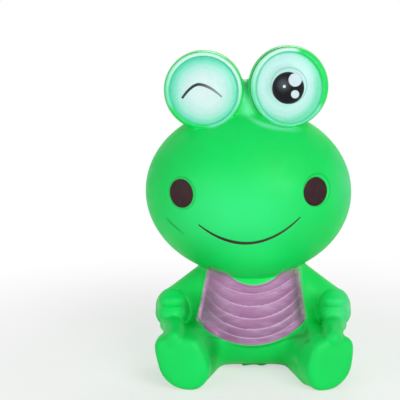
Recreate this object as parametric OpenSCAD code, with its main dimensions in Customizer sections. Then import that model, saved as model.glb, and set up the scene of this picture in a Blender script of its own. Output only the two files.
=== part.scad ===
// Squeaky frog for the bath.
// A hollow moulding of soft vinyl in one piece, with its eyes, face and belly sprayed on through masks,
// and a reed squeaker snapped into a hole in its seat.
// Millimetres. Z is up, the frog faces -Y, and the origin lies on the floor under the middle of the toy.

/* [Head] */
// Width of the head across the cheeks
head_w = 123; // [110:1:136]
// Height of the round head without the eyes
head_h = 102; // [92:1:112]
// Depth of the head from face to nape
head_d = 96; // [86:1:104]
// Height of the middle of the head above the floor
head_z = 102; // [96:1:110]
// Lean of the head and its eyes to its own right, in degrees
head_lean = 2; // [0:0.5:4]
// Slope of the round head under its eyes, down to its own left, in degrees
ball_slope = 3.5; // [0:0.5:5]

/* [Eyes] */
// Diameter of the bulb of the winking eye
wink_bulb_d = 45.4; // [40:0.2:48]
// Diameter of the bulb of the open eye
open_bulb_d = 46.8; // [40:0.2:49]
// Distance between the middles of the two bulbs
bulb_spacing = 49.6; // [49:0.1:56]
// Offset of the pair of bulbs to the frog's left
bulb_shift = 0.6; // [0:0.1:1.5]
// Thickness of a bulb from front to back
bulb_t = 36; // [28:1:42]
// Width of the green edge outside the raised rim
bulb_edge = 1.6; // [1.2:0.1:2.4]
// Thickness of the raised rim round each painted field
rim_t = 2.2; // [1.6:0.1:3]
// Height of the rim over the edge of the field
rim_h = 1; // [0.6:0.1:1.6]
// How far each painted field domes forward
field_dome = 2.2; // [1.4:0.1:3]
// Diameter of the open eye's pupil
pupil_d = 18.2; // [14:0.1:22]

/* [Face] */
// Distance between the two small brown eyes
face_eye_spacing = 75.6; // [60:0.2:84]
// Width of a small brown eye, seen from the front
face_eye_w = 13.9; // [10:0.1:17]
// Height of a small brown eye, seen from the front
face_eye_h = 16.3; // [12:0.1:19]
// Length of the smile between its ends
mouth_w = 58; // [44:1:70]
// Drop of the smile below its ends
mouth_drop = 12.4; // [8:0.2:16]
// Width of the line of the smile
mouth_line_w = 1.4; // [1:0.1:2]

/* [Body] */
// Width of the trunk at the hips
hip_w = 74; // [66:1:80]
// Reach of the belly in front of the body's axis
belly_reach = 34.5; // [31:0.5:37]
// Reach of the back behind the body's axis
back_reach = 32; // [28:0.5:35]
// Offset of the body's axis to the frog's left
trunk_x = 2.8; // [0:0.2:3]
// Vinyl wall, even everywhere as slush moulding leaves it
wall = 1.6; // [1.4:0.1:2.2]

/* [Belly] */
// Width of the sprayed belly panel at its lower corners
panel_w = 62; // [54:1:64]
// Depth of the panel below the skin round it
panel_recess = 1.3; // [1:0.1:1.6]
// Height of each puffed rib over the groove below it
rib_h = 1; // [0.6:0.1:1.2]
// Number of puffed ribs down the belly
ribs = 6; // [4:1:7]

/* [Arms] */
// Width across both elbows
arm_span = 117.2; // [112:0.2:117.4]
// Radius of the shoulder
shoulder_r = 16.8; // [13:0.1:17.2]
// Radius of the elbow
elbow_r = 13; // [11:0.1:13.6]
// Half width of the widest of the three rolls at each wrist
wrist_r = 8.3; // [7:0.1:8.8]
// Radius of the hand
hand_r = 4.8; // [4:0.1:5.4]

/* [Legs] */
// Reach of the soles in front of the body's axis
leg_reach = 68; // [62:0.5:70]
// Distance between the middles of the soles
sole_spacing = 79; // [74:0.5:82]
// Width of a sole
sole_w = 33.6; // [30:0.2:35]
// Height of a sole
sole_h = 31.4; // [28:0.2:33]
// Thickness of the foot behind the sole
foot_t = 18; // [15:0.5:20]
// Radius of the thigh
thigh_r = 14; // [12:0.1:14.6]
// How far the right foot of the frog turns outwards, in degrees
right_foot_turn = 5; // [0:1:20]
// How far the left foot of the frog turns outwards, in degrees
left_foot_turn = 24; // [5:1:28]

/* [Squeaker] */
// Diameter of the squeaker's flange
flange_d = 25; // [23:0.5:28]
// Diameter of the hole in the vinyl, which the squeaker's groove fills
seat_d = 19; // [18:0.5:20.5]
// Diameter of the chamber that guards the reed
chamber_d = 15.6; // [14.6:0.2:16.4]
// Height of the whole squeaker
squeaker_h = 26; // [24:0.5:30]
// Diameter of the plug of the reed holder
holder_d = 8.4; // [8:0.1:8.8]
// Width of the reed
reed_w = 5; // [4.6:0.1:5.4]
// Thickness of the reed
reed_t = 0.2; // [0.15:0.05:0.3]
// Travel of the reed's slope from its holder, in degrees
lay_angle = 3; // [2.5:0.5:3.5]

/* [Paint] */
// Thickness of a sprayed coat
coat_t = 0.25; // [0.15:0.05:0.4]
// Gap that keeps a coat's solid clear of what it lies on
coat_gap = 0.05; // [0.03:0.01:0.08]

/* [Hidden] */

vinyl_green = [0.10, 0.80, 0.34];
field_white = [0.86, 0.95, 0.94];
ink_black = [0.05, 0.06, 0.08];
face_brown = [0.24, 0.13, 0.14];
belly_mauve = [0.68, 0.46, 0.65];
squeaker_white = [0.93, 0.93, 0.90];
reed_clear = [0.80, 0.84, 0.86];

// One overrun serves all cuts.
over = 1;

// Sides of each round form, outside and in the hollow: head, bulbs, trunk, limbs and feet.
skin_counts = [36, 32, 28, 14, 22];
hollow_counts = [22, 16, 18, 8, 10];
// Rings along a bulb's back, the trunk, a limb and a foot.
skin_rows = [4, 12, 5, 8];
hollow_rows = [3, 6, 3, 4];
round_count = 20;

// A sole's straight sides: the way each faces, in degrees up from outwards, its distance from the
// middle as a share of the sole's half size, and what the frog's left foot has more and the right
// has less. The power rounds the corners between them.
sole_side_shares = [[0, 1, 0], [90, 1, 0], [160, 0.94, 0], [225, 1.1, -0.12], [270, 1, 0], [320, 0.9, 0.1]];
sole_corner = 8;
// How square the foot is from its sole to its heel, and how deep the floor cuts it flat.
foot_depth_square = 3;
foot_sink_share = 0.03;

// The head is a ball drawn out sideways, on the trunk's axis in depth.
// The origin lies midway between the nape and the foot that reaches further forward.
head_r = [head_w / 2, head_d / 2, head_h / 2];
foremost = max(foot_front(-1, right_foot_turn), foot_front(1, left_foot_turn));
middle_y = (foremost - head_r.y) / 2;
neck_share = 0.42;
neck_z = head_z - neck_share * head_h;

// The bulbs sit on the head's crown, side by side.
bulb_rise_share = 1.225;
bulb_front_share = 0.44;
bulb_z = bulb_rise_share * head_r.z;
bulb_y = -bulb_front_share * head_r.y;

// The trunk's sections, from under the floor to inside the head:
// height as a share of the neck's, half width as a share of the hips',
// front as a share of the belly's reach and back as a share of the back's reach.
trunk_shares = [
    [-0.03, 0.76, 0.38, 0.66],
    [0.04, 0.90, 0.72, 0.82],
    [0.12, 0.97, 0.90, 0.93],
    [0.28, 1.00, 0.99, 1.00],
    [0.50, 0.97, 1.00, 1.00],
    [0.72, 0.91, 0.94, 0.95],
    [0.92, 0.85, 0.82, 0.86],
    [1.16, 0.76, 0.62, 0.74]
];
trunk_square = 2.3;
// Rings lie closer together towards the floor.
trunk_pitch = 1.25;

// The skin forms are joined as one closed surface, at the size they are drawn.
as_drawn = [0, 0, 0];

function power(v, e) = sign(v) * pow(abs(v), e);
function lerp(a, b, t) = a + (b - a) * t;
function unit(v) = v / norm(v);

// A smooth value between rows of a table, through every row.
function curve(rows, t) =
    let (
        last = len(rows) - 1,
        i = min(floor(t), last - 1),
        f = t - i,
        a = rows[max(i - 1, 0)],
        b = rows[i],
        c = rows[i + 1],
        d = rows[min(i + 2, last)]
    )
    b + f * (c - a) / 2
        + f * f * (a - 2.5 * b + 2 * c - d / 2)
        + f * f * f * (1.5 * (b - c) + (d - a) / 2);

// A closed ring of a superellipse about a middle, in the plane of two directions.
function ring(middle, side, up, square, count) = [
    for (i = [0:count - 1])
        let (a = 360 * i / count)
        middle + side * power(cos(a), 2 / square) + up * power(sin(a), 2 / square)
];

// Faces of a stack of rings, closed by a point at each end. The points are start, rings, end.
function stack_faces(rows, count) =
    let (last = rows * count + 1)
    concat(
        [for (i = [0:count - 1]) [0, 1 + (i + 1) % count, 1 + i]],
        [for (r = [0:rows - 2]) for (i = [0:count - 1])
            let (a = 1 + r * count + i, b = 1 + r * count + (i + 1) % count)
            [a, b, b + count, a + count]],
        [for (i = [0:count - 1]) [last, last - count + i, last - count + (i + 1) % count]]
    );

// Quads are split, so that no face is bent.
function split(faces) = [
    for (f = faces) for (i = [1:len(f) - 2]) [f[0], f[i + 1], f[i]]
];

module stack(start, rings, end) {
    points = concat([start], [for (r = rings) each r], [end]);
    polyhedron(points, split(stack_faces(len(rings), len(rings[0]))));
}

// Two grids with the same rows and columns, closed round their edges: a patch with a thickness.
function patch_faces(rows, cols) =
    let (n = rows * cols, at = function (r, c) r * cols + c)
    concat(
        [for (r = [0:rows - 2]) for (c = [0:cols - 2])
            [at(r, c), at(r, c + 1), at(r + 1, c + 1), at(r + 1, c)]],
        [for (r = [0:rows - 2]) for (c = [0:cols - 2])
            [n + at(r, c), n + at(r + 1, c), n + at(r + 1, c + 1), n + at(r, c + 1)]],
        [for (c = [0:cols - 2]) [at(0, c), n + at(0, c), n + at(0, c + 1), at(0, c + 1)]],
        [for (c = [0:cols - 2])
            [at(rows - 1, c), at(rows - 1, c + 1), n + at(rows - 1, c + 1), n + at(rows - 1, c)]],
        [for (r = [0:rows - 2]) [at(r, 0), at(r + 1, 0), n + at(r + 1, 0), n + at(r, 0)]],
        [for (r = [0:rows - 2])
            [at(r, cols - 1), n + at(r, cols - 1), n + at(r + 1, cols - 1), at(r + 1, cols - 1)]]
    );

module patch(outer, inner) {
    points = concat([for (r = outer) each r], [for (r = inner) each r]);
    polyhedron(points, split(patch_faces(len(outer), len(outer[0]))));
}

// Frames: the head leans about its middle, and the trunk has its own axis.
module on_head() {
    translate([0, middle_y, head_z]) rotate([0, -head_lean, 0]) children();
}

module on_trunk() {
    translate([trunk_x, middle_y, 0]) children();
}

module on_bulb(side) {
    on_head() translate([bulb_shift + side * bulb_spacing / 2, bulb_y, bulb_z]) rotate([90, 0, 0]) children();
}

// Head

// Depth of the head's front at a place on the face, with a coat or a cut of a thickness.
function face_y(x, z, grow) =
    let (
        r = head_r + grow * [1, 1, 1],
        along = x * cos(ball_slope) - z * sin(ball_slope),
        up = x * sin(ball_slope) + z * cos(ball_slope)
    )
    -r.y * sqrt(max(1 - pow(along / r.x, 2) - pow(up / r.z, 2), 0));

module head_form(grow, count) {
    on_head() rotate([0, ball_slope, 0]) scale(head_r + grow * [1, 1, 1]) sphere(1, $fn = count);
}

// A bulb is turned about its own axis: back cap, edge, rim and domed field.
function dome_radius(field_r) = (field_r * field_r + field_dome * field_dome) / (2 * field_dome);
function dome_height(s, field_r, lift) =
    let (r = dome_radius(field_r))
    sqrt((r + lift) * (r + lift) - s * s) - r + field_dome;
function field_radius(bulb_d) = bulb_d / 2 - bulb_edge - rim_t;
edge_depth_share = 0.2;
bulb_square = 2.5;

function bulb_profile(bulb_d, grow, steps) =
    let (
        r = bulb_d / 2 + grow,
        edge = edge_depth_share * bulb_t,
        back = bulb_t - edge + grow,
        field_r = field_radius(bulb_d),
        rim_r = field_r + rim_t / 2
    )
    concat(
        [for (i = [0:steps]) let (a = 90 * i / steps)
            [r * power(sin(a), 2 / bulb_square), -edge - back * power(cos(a), 2 / bulb_square)]],
        [for (i = [1:2]) let (a = 90 * i / 3)
            [field_r + rim_t + (r - field_r - rim_t) * cos(a), -edge + (edge + grow) * sin(a)]],
        [[field_r + rim_t, grow]],
        grow < 0 ? [] : [for (i = [1:3]) let (a = 180 * i / 4)
            [rim_r + rim_t / 2 * cos(a), rim_h * sin(a)]],
        [for (i = [0:2]) let (s = field_r * (2 - i) / 2)
            [s, grow + dome_height(s, field_r, 0)]]
    );

module bulb_form(side, bulb_d, grow, count, steps) {
    on_bulb(side) rotate_extrude($fn = count) polygon(bulb_profile(bulb_d, grow, steps));
}

// A saddle joins the two bulbs.
bridge_shares = [0.30, 0.36, 0.40];
bridge_y_share = 0.44;
bridge_z_share = 0.94;
module bridge_form(grow, count) {
    r = [bridge_shares[0] * bulb_spacing, bridge_shares[1] * bulb_t, bridge_shares[2] * head_r.z];
    on_head() translate([bulb_shift, bulb_y + bridge_y_share * bulb_t, bridge_z_share * head_r.z])
        scale(r + grow * [1, 1, 1]) sphere(1, $fn = count);
}

// Trunk

function trunk_at(z) =
    let (
        s = z / neck_z,
        rows = trunk_shares,
        n = len(rows) - 1,
        i = max([for (k = [0:n - 1]) s >= rows[k][0] ? k : 0]),
        t = i + (s - rows[i][0]) / (rows[i + 1][0] - rows[i][0]),
        v = curve(rows, min(max(t, 0), n))
    )
    [v[1] * hip_w / 2, v[2] * belly_reach, v[3] * back_reach];

function trunk_front(x, z) =
    let (
        s = trunk_at(z),
        half_d = (s[1] + s[2]) / 2,
        k = pow(max(1 - pow(min(abs(x) / s[0], 1), trunk_square), 0), 1 / trunk_square)
    )
    (s[2] - s[1]) / 2 - half_d * k;

function trunk_ring(z, grow, count) =
    let (s = trunk_at(z), half_d = (s[1] + s[2]) / 2)
    ring([0, (s[2] - s[1]) / 2, z], [s[0] + grow, 0, 0], [0, half_d + grow, 0], trunk_square, count);

module trunk_form(grow, count, rows) {
    low = trunk_shares[0][0] * neck_z;
    high = trunk_shares[len(trunk_shares) - 1][0] * neck_z;
    levels = [for (i = [0:rows]) low + (high - low) * pow(i / rows, trunk_pitch)];
    on_trunk() stack([0, 0, low], [for (z = levels) trunk_ring(z, grow, count)], [0, 0, high]);
}

// The body swells at each side behind the arm and the thigh.
flank_shares = [0.58, 0.56, 0.40];
flank_x_share = 0.80;
flank_y_share = 0.1;
flank_z_share = 0.42;
module flank_form(side, grow, count) {
    r = [flank_shares[0] * hip_w / 2, flank_shares[1] * back_reach, flank_shares[2] * neck_z];
    place = [side * flank_x_share * hip_w / 2, -flank_y_share * back_reach, flank_z_share * neck_z];
    on_trunk() translate(place) scale(r + grow * [1, 1, 1]) sphere(1, $fn = count);
}

// Limbs: rings along a path with rounded ends. Each row is a middle and a radius.
// The path's direction is taken over a short step of its count of rows.
path_step = 0.02;
function limb_ring(rows, t, square, grow, count, k) =
    let (
        here = curve(rows, t),
        ahead = curve(rows, min(t + path_step, len(rows) - 1)),
        behind = curve(rows, max(t - path_step, 0)),
        along = unit([for (i = [0:2]) ahead[i] - behind[i]]),
        side = unit(cross([0, 0, 1], along)),
        up = cross(along, side),
        r = (here[3] + grow) * k
    )
    ring([here[0], here[1], here[2]], side * r, up * r, square, count);

function limb_end(rows, t, dir, grow, k) =
    let (
        here = curve(rows, t),
        near = curve(rows, t - path_step * dir),
        along = unit([for (i = [0:2]) here[i] - near[i]])
    )
    [for (i = [0:2]) here[i] + along[i] * (here[3] + grow) * k];

cap_rows = 3;
arm_square = 2;
leg_square = 2.5;
module limb(rows, square, grow, count, steps) {
    last = len(rows) - 1;
    body = [for (i = [0:steps]) limb_ring(rows, last * i / steps, square, grow, count, 1)];
    start_at = limb_end(rows, 0, -1, grow, 0);
    start_tip = limb_end(rows, 0, -1, grow, 1);
    end_at = limb_end(rows, last, 1, grow, 0);
    end_tip = limb_end(rows, last, 1, grow, 1);
    head = [for (i = [1:cap_rows - 1]) let (a = 90 * i / cap_rows)
        [for (p = limb_ring(rows, 0, square, grow, count, sin(a))) p + (start_tip - start_at) * cos(a)]];
    tail = [for (i = [cap_rows - 1:-1:1]) let (a = 90 * i / cap_rows)
        [for (p = limb_ring(rows, last, square, grow, count, sin(a))) p + (end_tip - end_at) * cos(a)]];
    stack(start_tip, concat(head, body, tail), end_tip);
}

elbow_x = arm_span / 2 - elbow_r;
function mirrored(rows, side) = [for (r = rows) [r[0] * side, r[1], r[2], r[3]]];

// Places along the arm, as shares of the elbow's place, the legs' reach and the neck's height.
upper_arm_shares = [[0.44, -0.03, 0.775], [1.00, -0.08, 0.55]];
// The forearm runs from inside the elbow, by way of a place between, to the rolls. Its end has a
// height as a share of the sole's, and a radius as a share of the wrist's.
forearm_start_share = 0.93;
forearm_middle_shares = [1.05, -0.29, 0.55];
forearm_end_shares = [1.042, -0.44, 1.30, 0.98];
// Places of the rolls as shares of the elbow's place, the legs' reach and the sole's height,
// and their half sizes as shares of the wrist's.
roll_shares = [[1.042, -0.475, 1.345], [1.042, -0.485, 1.16], [1.035, -0.495, 1.00]];
roll_r_shares = [[0.96, 1.08, 0.68], [1.00, 1.13, 0.72], [0.88, 1.00, 0.60]];
// Places and radii along the hand, which rests on the foot.
hand_shares = [[1.022, -0.54, 0.95], [0.985, -0.745, 0.96], [0.969, -0.92, 0.92]];
hand_r_shares = [1.45, 1.14, 0.98];

function arm_place(s, r) = [s[0] * elbow_x, s[1] * leg_reach, s[2] * neck_z, r];
function hand_place(s, r) = [s[0] * elbow_x, s[1] * leg_reach, s[2] * sole_h, r];

module arm_forms(side, grow, count, rows) {
    upper_arm = [arm_place(upper_arm_shares[0], shoulder_r), arm_place(upper_arm_shares[1], elbow_r)];
    forearm = [
        arm_place(upper_arm_shares[1], forearm_start_share * elbow_r),
        arm_place(forearm_middle_shares, (elbow_r + wrist_r) / 2),
        hand_place(forearm_end_shares, forearm_end_shares[3] * wrist_r)
    ];
    hand = [for (i = [0:len(hand_shares) - 1]) hand_place(hand_shares[i], hand_r_shares[i] * hand_r)];
    on_trunk() {
        for (path = [upper_arm, forearm, hand]) limb(mirrored(path, side), arm_square, grow, count, rows);
        for (i = [0:len(roll_shares) - 1]) {
            place = hand_place(roll_shares[i], 0);
            translate([side * place.x, place.y, place.z])
                scale(wrist_r * roll_r_shares[i] + grow * [1, 1, 1]) sphere(1, $fn = count);
        }
    }
}

// Legs

function sole_reach(a, side) =
    pow([for (s = sole_side_shares) pow(
        max(cos(s[0]) * side * cos(a) + sin(s[0]) * sin(a), 0) / (s[1] + side * s[2]),
        sole_corner
    )] * [for (s = sole_side_shares) 1], -1 / sole_corner);

function foot_rings(side, grow, count, rows) =
    let (r = [sole_w / 2 + grow, sole_h / 2 + grow, foot_t / 2 + grow])
    [for (i = [1:rows - 1]) let (
            a = -90 + 180 * i / rows,
            k = power(cos(a), 2 / foot_depth_square),
            h = power(sin(a), 2 / foot_depth_square)
        )
        [for (j = [0:count - 1]) let (b = 360 * j / count, reach = k * sole_reach(b, side))
            [reach * r.x * cos(b), reach * r.y * sin(b), h * r.z]]];

// How far a turned foot reaches in front of the body's axis.
function foot_front(side, turn) =
    let (points = [for (r = foot_rings(side, 0, skin_counts[4], skin_rows[3])) each r])
    leg_reach - foot_t / 2 + max([for (p = points) p.z * cos(turn) - side * p.x * sin(turn)]);

module foot_form(side, turn, grow, count, rows) {
    end = foot_t / 2 + grow;
    on_trunk()
        translate([side * sole_spacing / 2, -leg_reach + foot_t / 2, (1 - foot_sink_share) * sole_h / 2])
        rotate([0, 0, side * turn]) rotate([90, 0, 0])
        stack([0, 0, -end], foot_rings(side, grow, count, rows), [0, 0, end]);
}

hip_x_share = 0.74;
hip_y_share = 0.2;
ankle_x_share = 0.975;
ankle_depth_share = 0.8;
ankle_r_share = 0.94;
knee_shares = [0.55, 0.5];
module leg_forms(side, turn, grow, thigh_grow, counts, rows) {
    hip = [hip_x_share * hip_w / 2, -hip_y_share * belly_reach, thigh_r];
    ankle = [ankle_x_share * sole_spacing / 2, -leg_reach + ankle_depth_share * foot_t, sole_h / 2];
    path = [
        [hip.x, hip.y, hip.z, thigh_r],
        [lerp(hip.x, ankle.x, knee_shares[0]), lerp(hip.y, ankle.y, knee_shares[1]), thigh_r, thigh_r],
        [ankle.x, ankle.y, ankle.z, ankle_r_share * thigh_r]
    ];
    on_trunk() limb(mirrored(path, side), leg_square, thigh_grow, counts[3], rows[2]);
    foot_form(side, turn, grow, counts[4], rows[3]);
}

// The trunk's and the thighs' hollows stay back from the cuts in the skin over them.
module skin_forms(grow, trunk_grow, counts, rows) {
    head_form(grow, counts[0]);
    bulb_form(-1, wink_bulb_d, grow, counts[1], rows[0]);
    bulb_form(1, open_bulb_d, grow, counts[1], rows[0]);
    bridge_form(grow, counts[3]);
    trunk_form(trunk_grow, counts[2], rows[1]);
    for (side = [-1, 1]) {
        flank_form(side, grow, counts[4]);
        arm_forms(side, grow, counts[3], rows[2]);
    }
    leg_forms(-1, right_foot_turn, grow, trunk_grow, counts, rows);
    leg_forms(1, left_foot_turn, grow, trunk_grow, counts, rows);
}

// Belly panel

panel_top_share = 0.86;
panel_low_z_share = 0.27;
panel_high_z_share = 1.0;
rib_sweep_share = 0.42;
throat_z_share = 0.895;
throat_sweep_share = 0.80;
rib_steps = 3;
panel_cols = 12;

function panel_half_w(z) = lerp(panel_w / 2, panel_w / 2 * panel_top_share,
    min(max((z / neck_z - panel_low_z_share) / (panel_high_z_share - panel_low_z_share), 0), 1));
function sweep(x, share) = share * x * x / (panel_w / 2);
function panel_low(x) = panel_low_z_share * neck_z + sweep(x, rib_sweep_share);
function panel_high(x) =
    min(throat_z_share * neck_z + sweep(x, throat_sweep_share), panel_high_z_share * neck_z);

// Ribs are a little closer at the foot of the panel. The height over the groove is a flattened half round.
rib_spread = 1.12;
rib_round = 0.6;
function rib_place(v) = pow(v, rib_spread);
function rib_lift(step) = rib_h * pow(sin(180 * (step % rib_steps) / rib_steps), rib_round);

panel_rows = ribs * rib_steps;
function panel_point(row, col, lift) =
    let (
        v = row / panel_rows,
        u = 2 * col / panel_cols - 1,
        x_low = u * panel_half_w(panel_low(u * panel_w / 2)),
        low = panel_low(x_low),
        high = panel_high(x_low),
        z = lerp(low, high, rib_place(v)),
        x = u * panel_half_w(z)
    )
    [x, trunk_front(x, z) + panel_recess - rib_lift(row) - lift, z];

function panel_grid(lift) = [
    for (r = [0:panel_rows]) [for (c = [0:panel_cols]) panel_point(r, c, lift)]
];

// The cut takes away what stands in front of the panel's floor.
skin_over = 0.4;
module panel_cut() {
    on_trunk() patch(panel_grid(panel_recess + skin_over), panel_grid(0));
}

// A line across the face: the arc through two ends and the lowest point, with a width.
mouth_z_share = -0.215;
mouth_rise_share = 0.04;
mouth_steps = 16;
mouth_swell = 0.5;
mouth_taper_share = 0.35;
mouth_groove = 0.6;
groove_room = 0.15;
next_share = 0.01;
function mouth_point(t) =
    let (x = (t - 0.5) * mouth_w, drop = mouth_drop * (1 - pow(2 * t - 1, 2)))
    [x, mouth_z_share * head_r.z + mouth_rise_share * x - drop];
function mouth_half_w(t) = mouth_line_w / 2 * lerp(mouth_taper_share, 1, pow(sin(180 * t), mouth_swell));

function line_grid(lift, wider) = [
    for (i = [0:mouth_steps])
        let (
            t = i / mouth_steps,
            p = mouth_point(t),
            q = mouth_point(t + next_share),
            dir = unit(q - p),
            across = [-dir[1], dir[0]] * (mouth_half_w(t) + wider)
        )
        [for (s = [1, 0, -1]) let (m = p + s * across) [m[0], face_y(m[0], m[1], lift), m[1]]]
];

module mouth_cut() {
    on_head() patch(line_grid(over, groove_room), line_grid(-mouth_groove, groove_room));
}

module mouth_line() {
    low = coat_gap - mouth_groove;
    color(face_brown) on_head() patch(line_grid(low + coat_t, 0), line_grid(low, 0));
}

// The small eyes are shallow discs in the face.
face_eye_z_share = 0.1;
face_eye_sink = 0.5;
disc_rows = 2;
disc_count = 20;
function disc_ring(side, k, lift, wider) = [
    for (i = [0:disc_count - 1])
        let (
            a = 360 * i / disc_count,
            x = side * face_eye_spacing / 2 + k * (face_eye_w / 2 + wider) * cos(a),
            z = face_eye_z_share * head_r.z + k * (face_eye_h / 2 + wider) * sin(a)
        )
        [x, face_y(x, z, lift), z]
];

module face_disc(side, top, floor_lift, wider) {
    x = side * face_eye_spacing / 2;
    z = face_eye_z_share * head_r.z;
    back = [for (i = [1:disc_rows]) disc_ring(side, i / disc_rows, floor_lift, wider)];
    front = [for (i = [disc_rows:-1:1]) disc_ring(side, i / disc_rows, top, wider)];
    on_head() stack([x, face_y(x, z, floor_lift), z], concat(back, front), [x, face_y(x, z, top), z]);
}

module face_eye_cut(side) {
    face_disc(side, over, -face_eye_sink, groove_room);
}

module face_eye(side) {
    low = coat_gap - face_eye_sink;
    color(face_brown) face_disc(side, low + coat_t, low, 0);
}

module right_face_eye() {
    face_eye(-1);
}

module left_face_eye() {
    face_eye(1);
}

// The squeaker stands on the trunk's axis, in a shallow recess under the seat.
flange_t = 1.3;
recess_depth = 1.7;
lip_t = 2.2;
fit_gap = 0.05;
flange_gap = 0.3;
snap_over = 1.1;
snap_h = 1.6;
cup_wall = 1.1;
collar_wall = 3;
squeaker_y_share = 0.12;
squeaker_y = squeaker_y_share * back_reach;
seat_r = seat_d / 2;
collar_r = flange_d / 2 + collar_wall;
lip_top = recess_depth + lip_t;

module on_squeaker() {
    on_trunk() translate([0, squeaker_y, 0]) children();
}

module collar_form() {
    on_squeaker() cylinder(r = collar_r, h = lip_top, $fn = round_count);
}

module seat_hole() {
    on_squeaker() {
        translate([0, 0, -over]) cylinder(r = seat_r, h = lip_top + 2 * over);
        translate([0, 0, -over]) cylinder(r = flange_d / 2 + flange_gap, h = recess_depth + over);
    }
}

// The hollow follows the skin at the wall's thickness and opens through the seat.
module hollow() {
    trunk_wall = wall + panel_recess + rib_h;
    difference() {
        union() skin_forms(-wall, -trunk_wall, hollow_counts, hollow_rows);
        translate([-head_w, -head_w, -head_w]) cube([2 * head_w, 2 * head_w, head_w + wall]);
        collar_form();
    }
    on_squeaker() translate([0, 0, -neck_z / 2]) cylinder(r = seat_r - over, h = neck_z, $fn = round_count);
}

module vinyl_body() {
    color(vinyl_green) difference() {
        resize(as_drawn) difference() {
            skin_forms(0, 0, skin_counts, skin_rows);
            hollow();
            panel_cut();
            mouth_cut();
            face_eye_cut(-1);
            face_eye_cut(1);
        }
        translate([-head_w, -head_w, -head_w]) cube([2 * head_w, 2 * head_w, head_w]);
        seat_hole();
    }
}

// Painted eye fields: thin domes inside the rims.
module dome_coat(bulb_d, disc_r, at, layer) {
    field_r = field_radius(bulb_d);
    dome_r = dome_radius(field_r);
    low = layer * (coat_t + coat_gap) + coat_gap;
    intersection() {
        translate([0, 0, field_dome - dome_r]) difference() {
            sphere(dome_r + low + coat_t);
            sphere(dome_r + low);
        }
        translate([at[0], at[1], -over]) cylinder(r = disc_r, h = field_dome + 3 * over);
    }
}

field_gap = 0.15;
module wink_eye_field() {
    color(field_white) on_bulb(-1)
        dome_coat(wink_bulb_d, field_radius(wink_bulb_d) - field_gap, [0, 0], 0);
}

module open_eye_field() {
    color(field_white) on_bulb(1)
        dome_coat(open_bulb_d, field_radius(open_bulb_d) - field_gap, [0, 0], 0);
}

module pupil() {
    color(ink_black) on_bulb(1) dome_coat(open_bulb_d, pupil_d / 2, [0, 0], 1);
}

// Places and radii of the glints, as shares of the pupil's radius.
glint_shares = [[0.45, 0.49, 0.42], [0.42, -0.40, 0.26], [-0.24, 0.11, 0.10]];
module pupil_highlights() {
    color(field_white) on_bulb(1)
        for (g = glint_shares)
            dome_coat(open_bulb_d, g[2] * pupil_d / 2, [g[0], g[1]] * pupil_d / 2, 2);
}

// The closed eye is one brush line, thick in the middle and thin at its ends.
wink_w_share = 0.56;
wink_apex_share = 0.12;
wink_drop_share = 0.30;
wink_end_share = 0.5;
wink_line_w = 1.6;
wink_steps = 16;
function wink_point(t) =
    let (r = field_radius(wink_bulb_d), k = 2 * t - 1)
    [k * wink_w_share * r, (wink_apex_share - wink_drop_share * k * k) * r];

function wink_grid(lift) =
    [for (i = [0:wink_steps])
        let (
            t = i / wink_steps,
            p = wink_point(t),
            dir = unit(wink_point(t + next_share) - p),
            across = [-dir[1], dir[0]] * wink_line_w / 2 * lerp(wink_end_share, 1, sin(180 * t))
        )
        [for (s = [-1, 0, 1]) let (m = p + s * across)
            [m[0], m[1], dome_height(norm(m), field_radius(wink_bulb_d), lift)]]];

module wink_line() {
    low = coat_t + 2 * coat_gap;
    color(ink_black) on_bulb(-1) patch(wink_grid(low), wink_grid(low + coat_t));
}

module belly_coat() {
    color(belly_mauve) on_trunk() patch(panel_grid(coat_t + coat_gap), panel_grid(coat_gap));
}

// Squeaker cup: flange, groove, snap ridge and the chamber round the reed, with an air hole.
plug_h = 5;
plug_z = 5;
air_r = 2.4;
groove_r = seat_r - fit_gap;
chamber_r = chamber_d / 2;
holder_r = holder_d / 2;
cup_low = recess_depth - flange_t - fit_gap;
plug_top = plug_z + plug_h;

module squeaker_cup() {
    flange_top = recess_depth - fit_gap;
    groove_top = lip_top + fit_gap;
    color(squeaker_white) on_squeaker() difference() {
        union() {
            translate([0, 0, cup_low]) cylinder(r = flange_d / 2, h = flange_t);
            translate([0, 0, cup_low]) cylinder(r = groove_r, h = groove_top - cup_low + over);
            translate([0, 0, groove_top]) cylinder(r1 = groove_r + snap_over, r2 = groove_r, h = snap_h);
            translate([0, 0, groove_top]) cylinder(r = chamber_r, h = squeaker_h - groove_top);
        }
        translate([0, 0, -over]) cylinder(r = air_r, h = squeaker_h);
        translate([0, 0, plug_z]) cylinder(r = holder_r, h = squeaker_h);
        translate([0, 0, plug_top]) cylinder(r = chamber_r - cup_wall, h = squeaker_h);
    }
}

// Reed holder: a plug with a half round trough, its face sloping back from the reed.
trough_r = 3.3;
tip_guard = 2;
trough_top = squeaker_h - tip_guard;
duct_r = 2;
clip_h = 2.4;
reed_root_z = plug_top + fit_gap;
reed_gap = 0.15;
module reed_holder() {
    color(squeaker_white) on_squeaker() difference() {
        union() {
            translate([0, 0, plug_z + fit_gap]) cylinder(r = holder_r - fit_gap, h = plug_h - fit_gap);
            translate([0, 0, plug_top - over]) cylinder(r = trough_r, h = trough_top - plug_top + over);
        }
        translate([-holder_r, -2 * holder_r, plug_top]) cube([2 * holder_r, 2 * holder_r, squeaker_h]);
        translate([0, 0, plug_top + clip_h]) rotate([-lay_angle, 0, 0])
            translate([-holder_r, -2 * holder_r, 0]) cube([2 * holder_r, 2 * holder_r, squeaker_h]);
        translate([0, 0, plug_z - over]) cylinder(r = duct_r, h = trough_top - plug_z - over);
    }
}

module reed() {
    color(reed_clear) on_squeaker()
        translate([-reed_w / 2, -reed_gap - reed_t, reed_root_z])
        cube([reed_w, reed_t, trough_top - reed_root_z]);
}

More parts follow.
